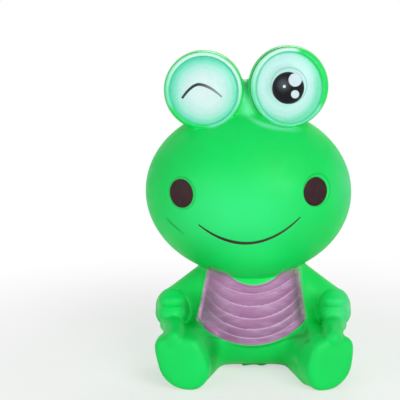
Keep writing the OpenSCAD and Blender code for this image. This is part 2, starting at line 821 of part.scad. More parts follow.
// Reed clip: a ring round the trough's foot, with a slot that holds the reed's root.
clip_wall = 1.1;
module reed_clip() {
    color(squeaker_white) on_squeaker() translate([0, 0, plug_top + fit_gap]) difference() {
        cylinder(r = trough_r + clip_wall, h = clip_h - 2 * fit_gap);
        translate([0, 0, -over]) intersection() {
            cylinder(r = trough_r + fit_gap, h = clip_h + 2 * over);
            translate([-holder_r, 0, 0]) cube([2 * holder_r, holder_r, clip_h + 2 * over]);
        }
        translate([-reed_w / 2 - reed_gap, -2 * reed_gap - reed_t, -over])
            cube([reed_w + 2 * reed_gap, 2 * reed_gap + reed_t + fit_gap, clip_h + 2 * over]);
    }
}

vinyl_body();
squeaker_cup();
reed_holder();
reed();
reed_clip();
wink_eye_field();
open_eye_field();
wink_line();
pupil();
pupil_highlights();
right_face_eye();
left_face_eye();
mouth_line();
belly_coat();
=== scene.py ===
# %% [markdown]
# A squeaky frog for the bath, cast in soft green vinyl, with its eyes, face and belly sprayed on through
# masks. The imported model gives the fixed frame: every piece below sits where that frame says, in metres,
# with +Z up and the frog facing -Y. The lesson goes from the light to the form, then to the carved detail,
# the paint, and the finishes.

# %% The frame
import math

import bmesh
import bpy
import numpy as np
from mathutils import Matrix, Vector
from mathutils.bvhtree import BVHTree


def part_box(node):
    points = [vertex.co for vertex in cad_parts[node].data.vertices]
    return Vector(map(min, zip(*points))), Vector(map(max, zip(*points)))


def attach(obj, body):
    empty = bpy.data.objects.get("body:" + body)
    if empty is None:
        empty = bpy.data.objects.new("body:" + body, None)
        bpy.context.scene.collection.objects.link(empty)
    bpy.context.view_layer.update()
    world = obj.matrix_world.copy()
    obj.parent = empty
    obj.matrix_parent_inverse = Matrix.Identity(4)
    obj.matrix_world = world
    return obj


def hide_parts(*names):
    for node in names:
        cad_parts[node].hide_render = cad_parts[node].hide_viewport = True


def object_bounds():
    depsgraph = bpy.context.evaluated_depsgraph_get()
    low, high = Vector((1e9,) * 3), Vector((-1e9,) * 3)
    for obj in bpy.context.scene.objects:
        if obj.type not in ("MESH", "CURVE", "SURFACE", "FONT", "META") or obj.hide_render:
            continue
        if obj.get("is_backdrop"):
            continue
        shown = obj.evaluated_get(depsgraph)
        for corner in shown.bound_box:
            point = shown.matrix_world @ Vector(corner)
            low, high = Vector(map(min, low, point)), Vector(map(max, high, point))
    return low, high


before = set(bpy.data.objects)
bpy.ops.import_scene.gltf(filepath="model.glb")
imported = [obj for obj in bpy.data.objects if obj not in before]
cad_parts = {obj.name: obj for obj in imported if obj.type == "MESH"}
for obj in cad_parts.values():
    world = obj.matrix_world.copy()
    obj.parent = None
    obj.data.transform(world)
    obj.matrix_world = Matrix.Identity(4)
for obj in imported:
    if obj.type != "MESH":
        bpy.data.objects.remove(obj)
cad_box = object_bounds()
MM = 0.001
scene = bpy.context.scene

SQUEAKER_BACK = 3.84
cup_low, cup_high = (np.array(corner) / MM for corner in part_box("squeaker_cup"))
TRUNK_X, CUP_Y = ((cup_low + cup_high) / 2)[:2]
MIDDLE_Y = CUP_Y - SQUEAKER_BACK
print("CAD box", [tuple(round(c, 4) for c in corner) for corner in cad_box])
print("middle", round(MIDDLE_Y, 2), "mm")

# %% [markdown]
# The camera comes first, because every likeness is judged through it. It stands two thirds of a metre in
# front of the toy, ten degrees above it, with a long lens. The lens follows from one fact: at the toy's
# distance a pixel covers 0.6 mm.

# %% Camera
VIEW_DISTANCE = 680 * MM
VIEW_RISE = math.radians(10)
LOOK_AT = Vector((0, MIDDLE_Y * MM, 86 * MM))
IMAGE = 400
PIXEL = 0.6 * MM
SENSOR = 36.0
LOOK_AT_PIXEL = (248.5, 217.4)


def add_camera():
    data = bpy.data.cameras.new("camera")
    data.sensor_width = SENSOR
    data.sensor_fit = "HORIZONTAL"
    data.lens = SENSOR * VIEW_DISTANCE / (IMAGE * PIXEL)
    data.shift_x = (IMAGE / 2 - LOOK_AT_PIXEL[0]) / IMAGE
    data.shift_y = (LOOK_AT_PIXEL[1] - IMAGE / 2) / IMAGE
    camera = bpy.data.objects.new("camera", data)
    scene.collection.objects.link(camera)
    back = Vector((0, -math.cos(VIEW_RISE), math.sin(VIEW_RISE)))
    camera.location = LOOK_AT + back * VIEW_DISTANCE
    camera.rotation_euler = (math.radians(90) - VIEW_RISE, 0, 0)
    scene.camera = camera
    return camera


camera = add_camera()
print("lens", round(camera.data.lens, 1), "mm")

# %% [markdown]
# Every finish and the form itself are node trees. These few helpers keep their code short: a value goes
# into a socket either as a number or as a link, and a sum reads like a function call.

# %% Node helpers
FLOAT, VECTOR, COLOUR, GEOMETRY = ("NodeSocket" + kind for kind in ("Float", "Vector", "Color", "Geometry"))


def plug(tree, socket, value):
    """Links a socket to another, or sets it to a value."""
    if isinstance(value, bpy.types.NodeSocket):
        tree.links.new(value, socket)
    else:
        socket.default_value = value


def number(tree, operation, *values):
    node = tree.nodes.new("ShaderNodeMath")
    node.operation = operation
    for socket, value in zip(node.inputs, values):
        plug(tree, socket, value)
    return node.outputs[0]


def vector(tree, operation, *values):
    node = tree.nodes.new("ShaderNodeVectorMath")
    node.operation = operation
    for socket, value in zip(node.inputs, values):
        plug(tree, socket, value)
    return node.outputs["Value" if operation in ("LENGTH", "DOT_PRODUCT", "DISTANCE") else "Vector"]


def scaled(tree, value, factor):
    node = tree.nodes.new("ShaderNodeVectorMath")
    node.operation = "SCALE"
    plug(tree, node.inputs[0], value)
    plug(tree, node.inputs["Scale"], factor)
    return node.outputs[0]


def parts_of(tree, value):
    node = tree.nodes.new("ShaderNodeSeparateXYZ")
    plug(tree, node.inputs[0], value)
    return tuple(node.outputs)


def ease(tree, value, low, high, start=0.0, end=1.0):
    """A soft step of a value from one level to another."""
    node = tree.nodes.new("ShaderNodeMapRange")
    node.interpolation_type = "SMOOTHSTEP"
    for socket, given in zip(node.inputs, (value, low, high, start, end)):
        plug(tree, socket, given)
    return node.outputs[0]


def new_group(name, inputs, outputs, kind="GeometryNodeTree"):
    """A node group with named sockets: {name: (socket type, default)} and {name: socket type}."""
    tree = bpy.data.node_groups.new(name, kind)
    for label, (socket, default) in inputs.items():
        made = tree.interface.new_socket(label, in_out="INPUT", socket_type=socket)
        if default is not None:
            made.default_value = default
    for label, socket in outputs.items():
        tree.interface.new_socket(label, in_out="OUTPUT", socket_type=socket)
    return tree, tree.nodes.new("NodeGroupInput").outputs, tree.nodes.new("NodeGroupOutput").inputs


def use_group(tree, group, **values):
    """A group placed in a tree with its values; gives the node's outputs."""
    node = tree.nodes.new("GeometryNodeGroup" if tree.bl_idname == "GeometryNodeTree" else "ShaderNodeGroup")
    node.node_tree = group
    for label, value in values.items():
        plug(tree, node.inputs[label.replace("_", " ").capitalize()], value)
    return node.outputs


print("node helpers", [helper.__name__ for helper in (plug, number, vector, scaled, parts_of, ease)])

# %% [markdown]
# The studio is one broad lamp from the viewer's right, a weaker one from the left, one from behind and a
# pale world, at a level where a colour renders about as it is written. The floor is pale and takes the
# toy's shadow. Further out it fades into the same white as the backdrop, so no horizon shows.

# %% Light and floor
scene.view_settings.view_transform = "Standard"


def add_lamp(name, place, aim, size, power):
    data = bpy.data.lights.new(name, "AREA")
    data.shape = "DISK"
    data.size = size
    data.energy = power
    lamp = bpy.data.objects.new(name, data)
    scene.collection.objects.link(lamp)
    lamp.location = place
    lamp.rotation_euler = (Vector(aim) - Vector(place)).to_track_quat("-Z", "Y").to_euler()


add_lamp("key_lamp", (0.50, -0.88, 0.56), (0, 0, 0.1), 0.7, 6.4)
add_lamp("fill_lamp", (-0.8, -0.75, 0.22), (0, 0, 0.08), 0.7, 2.9)
add_lamp("back_lamp", (0.1, 0.8, 0.8), (0, 0, 0.1), 0.6, 3.0)


def seen_directly(tree):
    """One for a ray that shows the backdrop: from the camera, or by way of a mirror or glass."""
    path = tree.nodes.new("ShaderNodeLightPath")
    seen = number(tree, "MAXIMUM", path.outputs["Is Camera Ray"], path.outputs["Is Transmission Ray"])
    return number(tree, "MAXIMUM", seen, path.outputs["Is Glossy Ray"])


def mixed_shader(tree, share, first, second):
    node = tree.nodes.new("ShaderNodeMixShader")
    for socket, value in zip(node.inputs, (share, first, second)):
        plug(tree, socket, value)
    return node.outputs[0]


def add_world(strength=0.36):
    world = bpy.data.worlds.new("studio")
    world.use_nodes = True
    tree = world.node_tree
    soft, white = tree.nodes["Background"], tree.nodes.new("ShaderNodeBackground")
    for node, level in ((soft, strength), (white, 1.0)):
        node.inputs["Color"].default_value = (1, 1, 1, 1)
        node.inputs["Strength"].default_value = level
    plug(tree, tree.nodes["World Output"].inputs[0],
         mixed_shader(tree, seen_directly(tree), soft.outputs[0], white.outputs[0]))
    scene.world = world


add_world()

FLOOR_HALF, FADE_FROM, FADE_TO, WHITE_NEAR = 1.5, 0.10, 0.34, 0.55


def add_floor():
    mesh = bpy.data.meshes.new("floor")
    corners = [(x * FLOOR_HALF, y * FLOOR_HALF, 0) for x, y in ((-1, -1), (1, -1), (1, 1), (-1, 1))]
    mesh.from_pydata(corners, [], [(0, 1, 2, 3)])
    floor = bpy.data.objects.new("floor", mesh)
    scene.collection.objects.link(floor)
    material = bpy.data.materials.new("pale_floor")
    material.use_nodes = True
    tree = material.node_tree
    shader = tree.nodes["Principled BSDF"]
    shader.inputs["Base Color"].default_value = (0.93, 0.93, 0.93, 1)
    shader.inputs["Roughness"].default_value = 0.8
    shader.inputs["Specular IOR Level"].default_value = 0.2
    white = tree.nodes.new("ShaderNodeEmission")
    place = tree.nodes.new("ShaderNodeTexCoord").outputs["Object"]
    far = ease(tree, vector(tree, "LENGTH", place), FADE_FROM, FADE_TO, WHITE_NEAR, 1.0)
    share = number(tree, "MULTIPLY", far, seen_directly(tree))
    plug(tree, tree.nodes["Material Output"].inputs[0],
         mixed_shader(tree, share, shader.outputs[0], white.outputs[0]))
    mesh.materials.append(material)
    floor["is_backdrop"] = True


add_floor()

# %% [markdown]
# The toy is one skin that flows from head to toes, as a cast has it, so it isn't put together from parts
# with seams. A sculptor's way would be to push clay. Here the form is a rule instead: each part is a node
# group that says how far any point of space lies from it, and soft minimums melt the parts into one
# another. The simplest part is a ball drawn out along three axes.

# %% Blob: a ball drawn out along three axes, round or squarish
LEAST_SHARE = 1e-4


def turned_back(tree, place, centre, turn):
    """A place seen from a part's own frame."""
    node = tree.nodes.new("ShaderNodeVectorRotate")
    node.rotation_type = "EULER_XYZ"
    node.invert = True
    plug(tree, node.inputs["Vector"], vector(tree, "SUBTRACT", place, centre))
    plug(tree, node.inputs["Rotation"], turn)
    return node.outputs[0]


def superellipse(tree, pairs, squareness):
    """Signed distance from a superellipse, to first order: pairs of place and radius along each axis."""
    total, slope = None, None
    for s, r in pairs:
        share = number(tree, "MAXIMUM", number(tree, "ABSOLUTE", number(tree, "DIVIDE", s, r)), LEAST_SHARE)
        term = number(tree, "POWER", share, squareness)
        pull = number(tree, "DIVIDE", number(tree, "DIVIDE", term, share), r)
        pull = number(tree, "MULTIPLY", pull, pull)
        total = term if total is None else number(tree, "ADD", total, term)
        slope = pull if slope is None else number(tree, "ADD", slope, pull)
    size = number(tree, "POWER", total, number(tree, "DIVIDE", 1.0, squareness))
    steep = number(tree, "MULTIPLY", number(tree, "SQRT", slope),
                   number(tree, "POWER", size, number(tree, "SUBTRACT", 1.0, squareness)))
    return number(tree, "DIVIDE", number(tree, "SUBTRACT", size, 1.0), steep)


def blob_group():
    tree, given, out = new_group("Blob", {
        "Centre": (VECTOR, (0, 0, 0)), "Radii": (VECTOR, (1, 1, 1)), "Turn": (VECTOR, (0, 0, 0)),
        "Squareness": (FLOAT, 2.0)}, {"Distance": FLOAT})
    place = tree.nodes.new("GeometryNodeInputPosition").outputs[0]
    own = parts_of(tree, turned_back(tree, place, given["Centre"], given["Turn"]))
    pairs = list(zip(own, parts_of(tree, given["Radii"])))
    plug(tree, out["Distance"], superellipse(tree, pairs, given["Squareness"]))
    return tree


blob = blob_group()
print("blob", len(blob.nodes), "nodes")

# %% [markdown]
# Arms, fingers and thighs are rods that taper and end round. A cylinder with two balls would show where
# they meet. The distance from a line, less a radius that changes along it, gives the same rod in one piece.

# %% Limb: a tapered rod with round ends


def limb_group():
    tree, given, out = new_group("Limb", {
        "Start": (VECTOR, (0, 0, 0)), "End": (VECTOR, (0, 0, 1)), "Start radius": (FLOAT, 1.0),
        "End radius": (FLOAT, 1.0)}, {"Distance": FLOAT})
    place = tree.nodes.new("GeometryNodeInputPosition").outputs[0]
    run = vector(tree, "SUBTRACT", given["End"], given["Start"])
    reach = vector(tree, "SUBTRACT", place, given["Start"])
    along = vector(tree, "DOT_PRODUCT", reach, run)
    share = number(tree, "DIVIDE", along, vector(tree, "DOT_PRODUCT", run, run))
    share = number(tree, "MAXIMUM", number(tree, "MINIMUM", share, 1.0), 0.0)
    away = vector(tree, "LENGTH", vector(tree, "SUBTRACT", reach, scaled(tree, run, share)))
    gain = number(tree, "SUBTRACT", given["End radius"], given["Start radius"])
    radius = number(tree, "ADD", given["Start radius"], number(tree, "MULTIPLY", share, gain))
    plug(tree, out["Distance"], number(tree, "SUBTRACT", away, radius))
    return tree


limb = limb_group()
print("limb", len(limb.nodes), "nodes")

# %% [markdown]
# The head leans two degrees to its own right. Its places are easier to say in its own frame, and these
# small functions carry them into the toy's. All sizes are millimetres here and metres in the trees.

# %% The head's and the trunk's frames
HEAD_MIDDLE = (0.0, MIDDLE_Y, 102.0)
HEAD_RADII = (61.3, 47.8, 51.0)
HEAD_LEAN = -2.0
BALL_SLOPE = 3.5
LEAN = np.array(Matrix.Rotation(math.radians(HEAD_LEAN), 3, "Y"))
NECK_Z = 59.16
HIP_W = 74.0
BELLY_REACH = 34.5
BACK_REACH = 32.0


def mm(values):
    return tuple(v * MM for v in values)


def on_head(points):
    """Places in the leaning head's own frame as places in the toy."""
    return np.asarray(points, float) @ LEAN.T + HEAD_MIDDLE


def in_head(points):
    return (np.asarray(points, float) - HEAD_MIDDLE) @ LEAN


def on_trunk(x, y, z):
    return (x + TRUNK_X, y + MIDDLE_Y, z)


print("head's middle", [round(float(v), 2) for v in HEAD_MIDDLE], "mm, lean", HEAD_LEAN, "degrees")

# %% [markdown]
# The trunk is narrow at the neck, full at the hips and squarish all round. It could be lofted through
# rings. Here three curves of the height give its half width, its front and its back, so that one number
# changed in the table moves the whole flank.

# %% Trunk: squarish sections whose width, front and back follow curves of the height
TRUNK_SHARES = [
    (-0.03, 0.76, 0.31, 0.66), (0.04, 0.90, 0.71, 0.82), (0.12, 0.97, 0.90, 0.93), (0.28, 1.00, 0.99, 1.00),
    (0.50, 0.97, 1.00, 1.00), (0.72, 0.91, 0.94, 0.95), (0.92, 0.85, 0.82, 0.86), (1.16, 0.76, 0.62, 0.74)]
TRUNK_SQUARE = 2.3
TRUNK_TOP_SHARE = 1.12


def share_curve(tree, value, column):
    node = tree.nodes.new("ShaderNodeFloatCurve")
    curve = node.mapping.curves[0]
    node.mapping.use_clip = False
    low, high = TRUNK_SHARES[0][0], TRUNK_SHARES[-1][0]
    places = [((row[0] - low) / (high - low), row[column]) for row in TRUNK_SHARES]
    for _ in range(len(places) - len(curve.points)):
        curve.points.new(0.5, 0.5)
    for point, place in zip(curve.points, places):
        point.location = place
    node.mapping.update()
    plug(tree, node.inputs["Value"], number(tree, "DIVIDE", number(tree, "SUBTRACT", value, low), high - low))
    return node.outputs[0]


def trunk_group():
    tree, given, out = new_group("Trunk", {
        "Centre": (VECTOR, (0, 0, 0)), "Neck height": (FLOAT, 1.0), "Half width": (FLOAT, 1.0),
        "Belly reach": (FLOAT, 1.0), "Back reach": (FLOAT, 1.0)}, {"Distance": FLOAT})
    place = tree.nodes.new("GeometryNodeInputPosition").outputs[0]
    x, y, z = parts_of(tree, vector(tree, "SUBTRACT", place, given["Centre"]))
    share = number(tree, "DIVIDE", z, given["Neck height"])
    half_w, front, back = (
        number(tree, "MULTIPLY", share_curve(tree, share, column), given[label])
        for column, label in ((1, "Half width"), (2, "Belly reach"), (3, "Back reach")))
    half_d = number(tree, "MULTIPLY", number(tree, "ADD", front, back), 0.5)
    middle = number(tree, "MULTIPLY", number(tree, "SUBTRACT", back, front), 0.5)
    side = superellipse(tree, [(x, half_w), (number(tree, "SUBTRACT", y, middle), half_d)], TRUNK_SQUARE)
    top = number(tree, "SUBTRACT", z, number(tree, "MULTIPLY", given["Neck height"], TRUNK_TOP_SHARE))
    plug(tree, out["Distance"], number(tree, "MAXIMUM", side, top))
    return tree


trunk = trunk_group()
print("trunk", len(trunk.nodes), "nodes")

# %% [markdown]
# The bulbs of the eyes are drums with a round back and a flat front that carries the paint. A ball with a
# slice off would have too sharp an edge, so the drum narrows a little before its face.

# %% Bulb: a drum with a rounded back and a flat front
BULB_SQUARE = 2.5


def bulb_group():
    tree, given, out = new_group("Bulb", {
        "Centre": (VECTOR, (0, 0, 0)), "Turn": (VECTOR, (0, 0, 0)), "Radius": (FLOAT, 1.0),
        "Tallness": (FLOAT, 1.0), "Back": (FLOAT, 1.0), "Front": (FLOAT, 1.0), "Taper": (FLOAT, 0.0)},
        {"Distance": FLOAT})
    place = tree.nodes.new("GeometryNodeInputPosition").outputs[0]
    x, y, z = parts_of(tree, turned_back(tree, place, given["Centre"], given["Turn"]))
    z = number(tree, "DIVIDE", z, given["Tallness"])
    squares = number(tree, "ADD", number(tree, "MULTIPLY", x, x), number(tree, "MULTIPLY", z, z))
    wide = number(tree, "SQRT", squares)
    forward = number(tree, "MULTIPLY", y, -1.0)
    ahead = number(tree, "MAXIMUM", number(tree, "DIVIDE", forward, given["Front"]), 0.0)
    taper = number(tree, "MULTIPLY", number(tree, "MULTIPLY", ahead, ahead), given["Taper"])
    radius = number(tree, "SUBTRACT", given["Radius"], taper)
    total = None
    for share in (number(tree, "DIVIDE", wide, radius), number(tree, "DIVIDE", y, given["Back"])):
        term = number(tree, "POWER", number(tree, "MAXIMUM", share, LEAST_SHARE), BULB_SQUARE)
        total = term if total is None else number(tree, "ADD", total, term)
    size = number(tree, "POWER", total, 1 / BULB_SQUARE)
    drum = number(tree, "MULTIPLY", number(tree, "SUBTRACT", size, 1.0), radius)
    face = number(tree, "SUBTRACT", forward, given["Front"])
    plug(tree, out["Distance"], number(tree, "SMOOTH_MAX", drum, face, 1.0 * MM))
    return tree


bulb = bulb_group()
print("bulb", len(bulb.nodes), "nodes")

# %% [markdown]
# A sole is flat and almost straight-sided, with round corners that differ. Its outline is the softest of
# a few straight sides: each row gives the way a side faces, in degrees up from outwards, and how far it
# lies from the sole's middle on the frog's right foot and on its left one.

# %% Foot
SOLE_SIDES = [(0, 15.9, 15.9), (45, 19.2, 18.6), (90, 14.5, 14.0), (125, 17.2, 15.2), (158, 14.3, 13.1),
              (180, 16.1, 13.6), (215, 17.6, 15.8), (250, 17.4, 17.2), (285, 14.8, 15.8), (315, 13.6, 15.2),
              (345, 13.3, 15.2)]


def foot_group():
    tree, given, out = new_group("Foot", {
        "Centre": (VECTOR, (0, 0, 0)), "Turn": (VECTOR, (0, 0, 0)), "Half depth": (FLOAT, 1.0),
        "Side": (FLOAT, 1.0), "Corner": (FLOAT, 14.0), "Edge": (FLOAT, 5.0)}, {"Distance": FLOAT})
    place = tree.nodes.new("GeometryNodeInputPosition").outputs[0]
    x, y, z = parts_of(tree, turned_back(tree, place, given["Centre"], given["Turn"]))
    x = number(tree, "MULTIPLY", x, given["Side"])
    total = None
    for angle, right, left in SOLE_SIDES:
        reach = number(tree, "ADD", number(tree, "MULTIPLY", x, math.cos(math.radians(angle))),
                       number(tree, "MULTIPLY", z, math.sin(math.radians(angle))))
        bound = number(tree, "MULTIPLY_ADD", given["Side"], (left - right) / 2 * MM, (left + right) / 2 * MM)
        share = number(tree, "MAXIMUM", number(tree, "DIVIDE", reach, bound), LEAST_SHARE)
        term = number(tree, "POWER", share, given["Corner"])
        total = term if total is None else number(tree, "ADD", total, term)
    outline = number(tree, "POWER", total, number(tree, "DIVIDE", 1.0, given["Corner"]))
    deep = number(tree, "ABSOLUTE", number(tree, "DIVIDE", y, given["Half depth"]))
    deep = number(tree, "MAXIMUM", deep, LEAST_SHARE)
    n = given["Edge"]
    size = number(tree, "ADD", number(tree, "POWER", outline, n), number(tree, "POWER", deep, n))
    size = number(tree, "POWER", size, number(tree, "DIVIDE", 1.0, n))
    thick = number(tree, "MULTIPLY", given["Half depth"], 1.3)
    plug(tree, out["Distance"], number(tree, "MULTIPLY", number(tree, "SUBTRACT", size, 1.0), thick))
    return tree


foot_form = foot_group()
print("foot", len(foot_form.nodes), "nodes")

# %% [markdown]
# The two eye bulbs stand on the crown, side by side. An arm goes from the shoulder by way of the elbow to
# three short rolls at the wrist, and the hand rests on the foot. These are the places of the model's own
# parts, written as shares of the same few lengths.

# %% Places of the bulbs and limbs
BULB_Y = -0.44 * HEAD_RADII[1]
BULB_Z = 1.225 * HEAD_RADII[2]
BULB_SHIFT, BULB_SPACING = 0.6, 49.6
WINK_X, OPEN_X = BULB_SHIFT - BULB_SPACING / 2, BULB_SHIFT + BULB_SPACING / 2
BULB_DEPTH = 36.0
BULB_EDGE_DEPTH = 0.2 * BULB_DEPTH
BULB_EDGE, RIM_W, RIM_H, FIELD_DOME = 1.6, 2.3, 1.0, 2.2
# For each bulb's outline and painted field: the middle in the head's frame, half the width and the height.
BULBS = {
    "wink": {"out": (WINK_X + 0.6, BULB_Z - 0.6, 23.0, 22.8),
             "field": (WINK_X + 0.8, BULB_Z - 0.7, 19.3, 19.3)},
    "open": {"out": (OPEN_X - 0.3, BULB_Z - 0.1, 23.1, 23.4),
             "field": (OPEN_X, BULB_Z - 0.8, 18.5, 20.3)}}

ELBOW_X = 117.2 / 2 - 13
LEG_REACH = 68.0
SHOULDER_R, ELBOW_R, FOREARM_R, WRIST_R = 16.8, 11.3, 9.6, 8.3
SOLE_SPACING, SOLE_H, FOOT_T = 79.0, 31.4, 18.0
FOOT_TURNS = {-1: 5.0, 1: 24.0}
FOOT_BACK = 0.3
THIGH_R, ANKLE_R_SHARE = 14.0, 0.94
UNDERSIDE_R, UNDERSIDE_Z = 11.0, 5.0
UNDERSIDE_FROM, UNDERSIDE_TO = (-0.5, -4.0), (-2.5, 3.0)
CHIN_MIDDLE, CHIN_RADII = (1.0, -13.0, -24.0), (35.0, 28.0, 27.6)


def arm_place(share, height=NECK_Z):
    return (share[0] * ELBOW_X, share[1] * LEG_REACH, share[2] * height)


ELBOW = arm_place((1.035, -0.08, 0.55))
UPPER_ARM = [(arm_place((0.44, -0.03, 0.775)), SHOULDER_R), (ELBOW, ELBOW_R)]
FOREARM = [(ELBOW, ELBOW_R - 0.5), (arm_place((1.045, -0.29, 0.56)), FOREARM_R),
           (arm_place((1.035, -0.44, 1.33), SOLE_H), WRIST_R * 0.96)]
HAND = [(arm_place((1.022, -0.54, 0.95), SOLE_H), 6.4), (arm_place((0.985, -0.745, 0.96), SOLE_H), 5.4),
        (arm_place((0.969, -0.92, 0.92), SOLE_H), 4.7)]
ROLLS = [((1.035, -0.455, 1.375), (0.94, 1.10, 0.52)), ((1.035, -0.470, 1.145), (0.97, 1.12, 0.66)),
         ((1.028, -0.485, 0.925), (0.86, 1.04, 0.50))]
ROLL_SQUARE = 2.4
print("elbow", [round(float(v), 1) for v in ELBOW], "mm")
print("bulbs", [round(2 * given["out"][2], 1) for given in BULBS.values()], "mm wide")

# %% [markdown]
# Now the whole form. A soft minimum with a large softness makes a broad fillet, as between belly and
# thigh, and a small one keeps a crease, as between the rolls. A soft maximum with the floor cuts the
# toy flat where it sits.

# %% The whole form
FLANK_SOFT, LEG_SOFT, ARM_SOFT, NECK_SOFT, FLOOR_SOFT = 6.0, 13.0, 2.5, 1.8, 0.8
CHIN_SOFT, BULB_SOFT, SADDLE_SOFT = 4.0, 1.2, 3.0
LIMB_SOFT, THIGH_SOFT, FOOT_SOFT, ROLL_SOFT, HAND_SOFT = 3.0, 1.0, 2.0, 1.6, 2.0


def add_part(tree, whole, piece, softness):
    return piece if whole is None else number(tree, "SMOOTH_MIN", whole, piece, softness * MM)


def rod_chain(tree, path, side, softness):
    whole = None
    for (a, ra), (b, rb) in zip(path, path[1:]):
        piece = use_group(tree, limb, start=mm(on_trunk(side * a[0], a[1], a[2])), start_radius=ra * MM,
                          end=mm(on_trunk(side * b[0], b[1], b[2])), end_radius=rb * MM)[0]
        whole = add_part(tree, whole, piece, softness)
    return whole


def head_part(tree):
    lean = math.radians(HEAD_LEAN)
    head = use_group(tree, blob, centre=mm(HEAD_MIDDLE), radii=mm(HEAD_RADII),
                     turn=(0, lean + math.radians(BALL_SLOPE), 0))[0]
    bulbs = None
    for given in BULBS.values():
        x, z, half_w, half_h = given["out"]
        piece = use_group(
            tree, bulb, centre=mm(on_head((x, BULB_Y + BULB_EDGE_DEPTH, z))), turn=(0, lean, 0),
            radius=half_w * MM, tallness=half_h / half_w, back=(BULB_DEPTH - BULB_EDGE_DEPTH) * MM,
            front=BULB_EDGE_DEPTH * MM, taper=BULB_EDGE / 2 * MM)[0]
        bulbs = add_part(tree, bulbs, piece, BULB_SOFT)
    saddle = use_group(
        tree, blob, centre=mm(on_head((BULB_SHIFT, BULB_Y + 0.44 * BULB_DEPTH, 0.94 * HEAD_RADII[2]))),
        radii=mm((0.30 * BULB_SPACING, 0.36 * BULB_DEPTH, 0.365 * HEAD_RADII[2])))[0]
    chin = use_group(tree, blob, centre=mm(on_head(CHIN_MIDDLE)), radii=mm(CHIN_RADII))[0]
    head = add_part(tree, head, chin, CHIN_SOFT)
    return add_part(tree, head, add_part(tree, bulbs, saddle, SADDLE_SOFT), SADDLE_SOFT)


def leg_part(tree, side):
    hip = (0.74 * HIP_W / 2, -0.2 * BELLY_REACH, THIGH_R)
    ankle = (1.0 * SOLE_SPACING / 2, -LEG_REACH + 0.8 * FOOT_T, SOLE_H / 2)
    knee = (hip[0] + 0.55 * (ankle[0] - hip[0]), hip[1] + 0.5 * (ankle[1] - hip[1]), THIGH_R)
    thigh = [(hip, THIGH_R), (knee, THIGH_R), (ankle, ANKLE_R_SHARE * THIGH_R)]
    under = [((end[0] + x, end[1] + y, UNDERSIDE_Z), UNDERSIDE_R)
             for end, (x, y) in ((hip, UNDERSIDE_FROM), (ankle, UNDERSIDE_TO))]
    leg = add_part(tree, rod_chain(tree, thigh, side, THIGH_SOFT), rod_chain(tree, under, side, THIGH_SOFT),
                   FOOT_SOFT)
    foot = use_group(
        tree, foot_form, turn=(0, 0, math.radians(side * FOOT_TURNS[side])), side=side,
        centre=mm(on_trunk(side * SOLE_SPACING / 2, -LEG_REACH + FOOT_T / 2 + FOOT_BACK, 0.97 * SOLE_H / 2)),
        half_depth=FOOT_T / 2 * MM)[0]
    return add_part(tree, leg, foot, FOOT_SOFT)


def arm_part(tree, side):
    upper, lower = (rod_chain(tree, path, side, LIMB_SOFT) for path in (UPPER_ARM, FOREARM))
    arm = add_part(tree, upper, lower, LIMB_SOFT)
    for share, radii in ROLLS:
        x, y, z = arm_place(share, SOLE_H)
        roll = use_group(tree, blob, centre=mm(on_trunk(side * x, y, z)),
                         radii=mm([r * WRIST_R for r in radii]), squareness=ROLL_SQUARE)[0]
        arm = add_part(tree, arm, roll, ROLL_SOFT)
    return add_part(tree, arm, rod_chain(tree, HAND, side, HAND_SOFT), ROLL_SOFT)


def frog_form():
    tree, given, out = new_group("Frog Form", {}, {"Distance": FLOAT})
    body = use_group(tree, trunk, centre=mm((TRUNK_X, MIDDLE_Y, 0)), neck_height=NECK_Z * MM,
                     half_width=HIP_W / 2 * MM, belly_reach=BELLY_REACH * MM, back_reach=BACK_REACH * MM)[0]
    for side in (-1, 1):
        flank = use_group(
            tree, blob, centre=mm(on_trunk(side * 0.8 * HIP_W / 2, -0.1 * BACK_REACH, 0.42 * NECK_Z)),
            radii=mm((0.58 * HIP_W / 2, 0.56 * BACK_REACH, 0.40 * NECK_Z)))[0]
        body = add_part(tree, body, flank, FLANK_SOFT)
        body = add_part(tree, body, leg_part(tree, side), LEG_SOFT)
        body = add_part(tree, body, arm_part(tree, side), ARM_SOFT)
    whole = add_part(tree, head_part(tree), body, NECK_SOFT)
    place = tree.nodes.new("GeometryNodeInputPosition").outputs[0]
    below = number(tree, "MULTIPLY", parts_of(tree, place)[2], -1.0)
    plug(tree, out["Distance"], number(tree, "SMOOTH_MAX", whole, below, FLOOR_SOFT * MM))
    return tree


form = frog_form()
print("form", len(form.nodes), "nodes")

# %% [markdown]
# The rule becomes a mesh in two steps, both node trees. The first fills a volume with the distance and
# takes its surface, which is even but a little soft. The second pulls every vertex along its normal on to
# the exact form.

# %% Cast and fit
VOXEL = 1.6 * MM
LEVEL = 1.0
DENSITY_DEPTH = 10 * MM


def cast_tree():
    tree, given, out = new_group("Cast", {"Geometry": (GEOMETRY, None), "Voxel": (FLOAT, VOXEL)},
                                 {"Geometry": GEOMETRY})
    cube = tree.nodes.new("GeometryNodeVolumeCube")
    margin = Vector((4 * MM,) * 3)
    low, high = cad_box[0] - margin, cad_box[1] + margin
    deep = number(tree, "DIVIDE", use_group(tree, form)[0], DENSITY_DEPTH)
    plug(tree, cube.inputs["Density"], number(tree, "SUBTRACT", LEVEL, deep))
    cube.inputs["Background"].default_value = 0.0
    cube.inputs["Min"].default_value = low
    cube.inputs["Max"].default_value = high
    for axis, label in enumerate("XYZ"):
        steps = number(tree, "DIVIDE", high[axis] - low[axis], given["Voxel"])
        plug(tree, cube.inputs["Resolution " + label], number(tree, "ROUND", steps))
    mesh = tree.nodes.new("GeometryNodeVolumeToMesh")
    mesh.resolution_mode = "GRID"
    plug(tree, mesh.inputs["Volume"], cube.outputs[0])
    mesh.inputs["Threshold"].default_value = LEVEL
    plug(tree, out["Geometry"], mesh.outputs[0])
    return tree


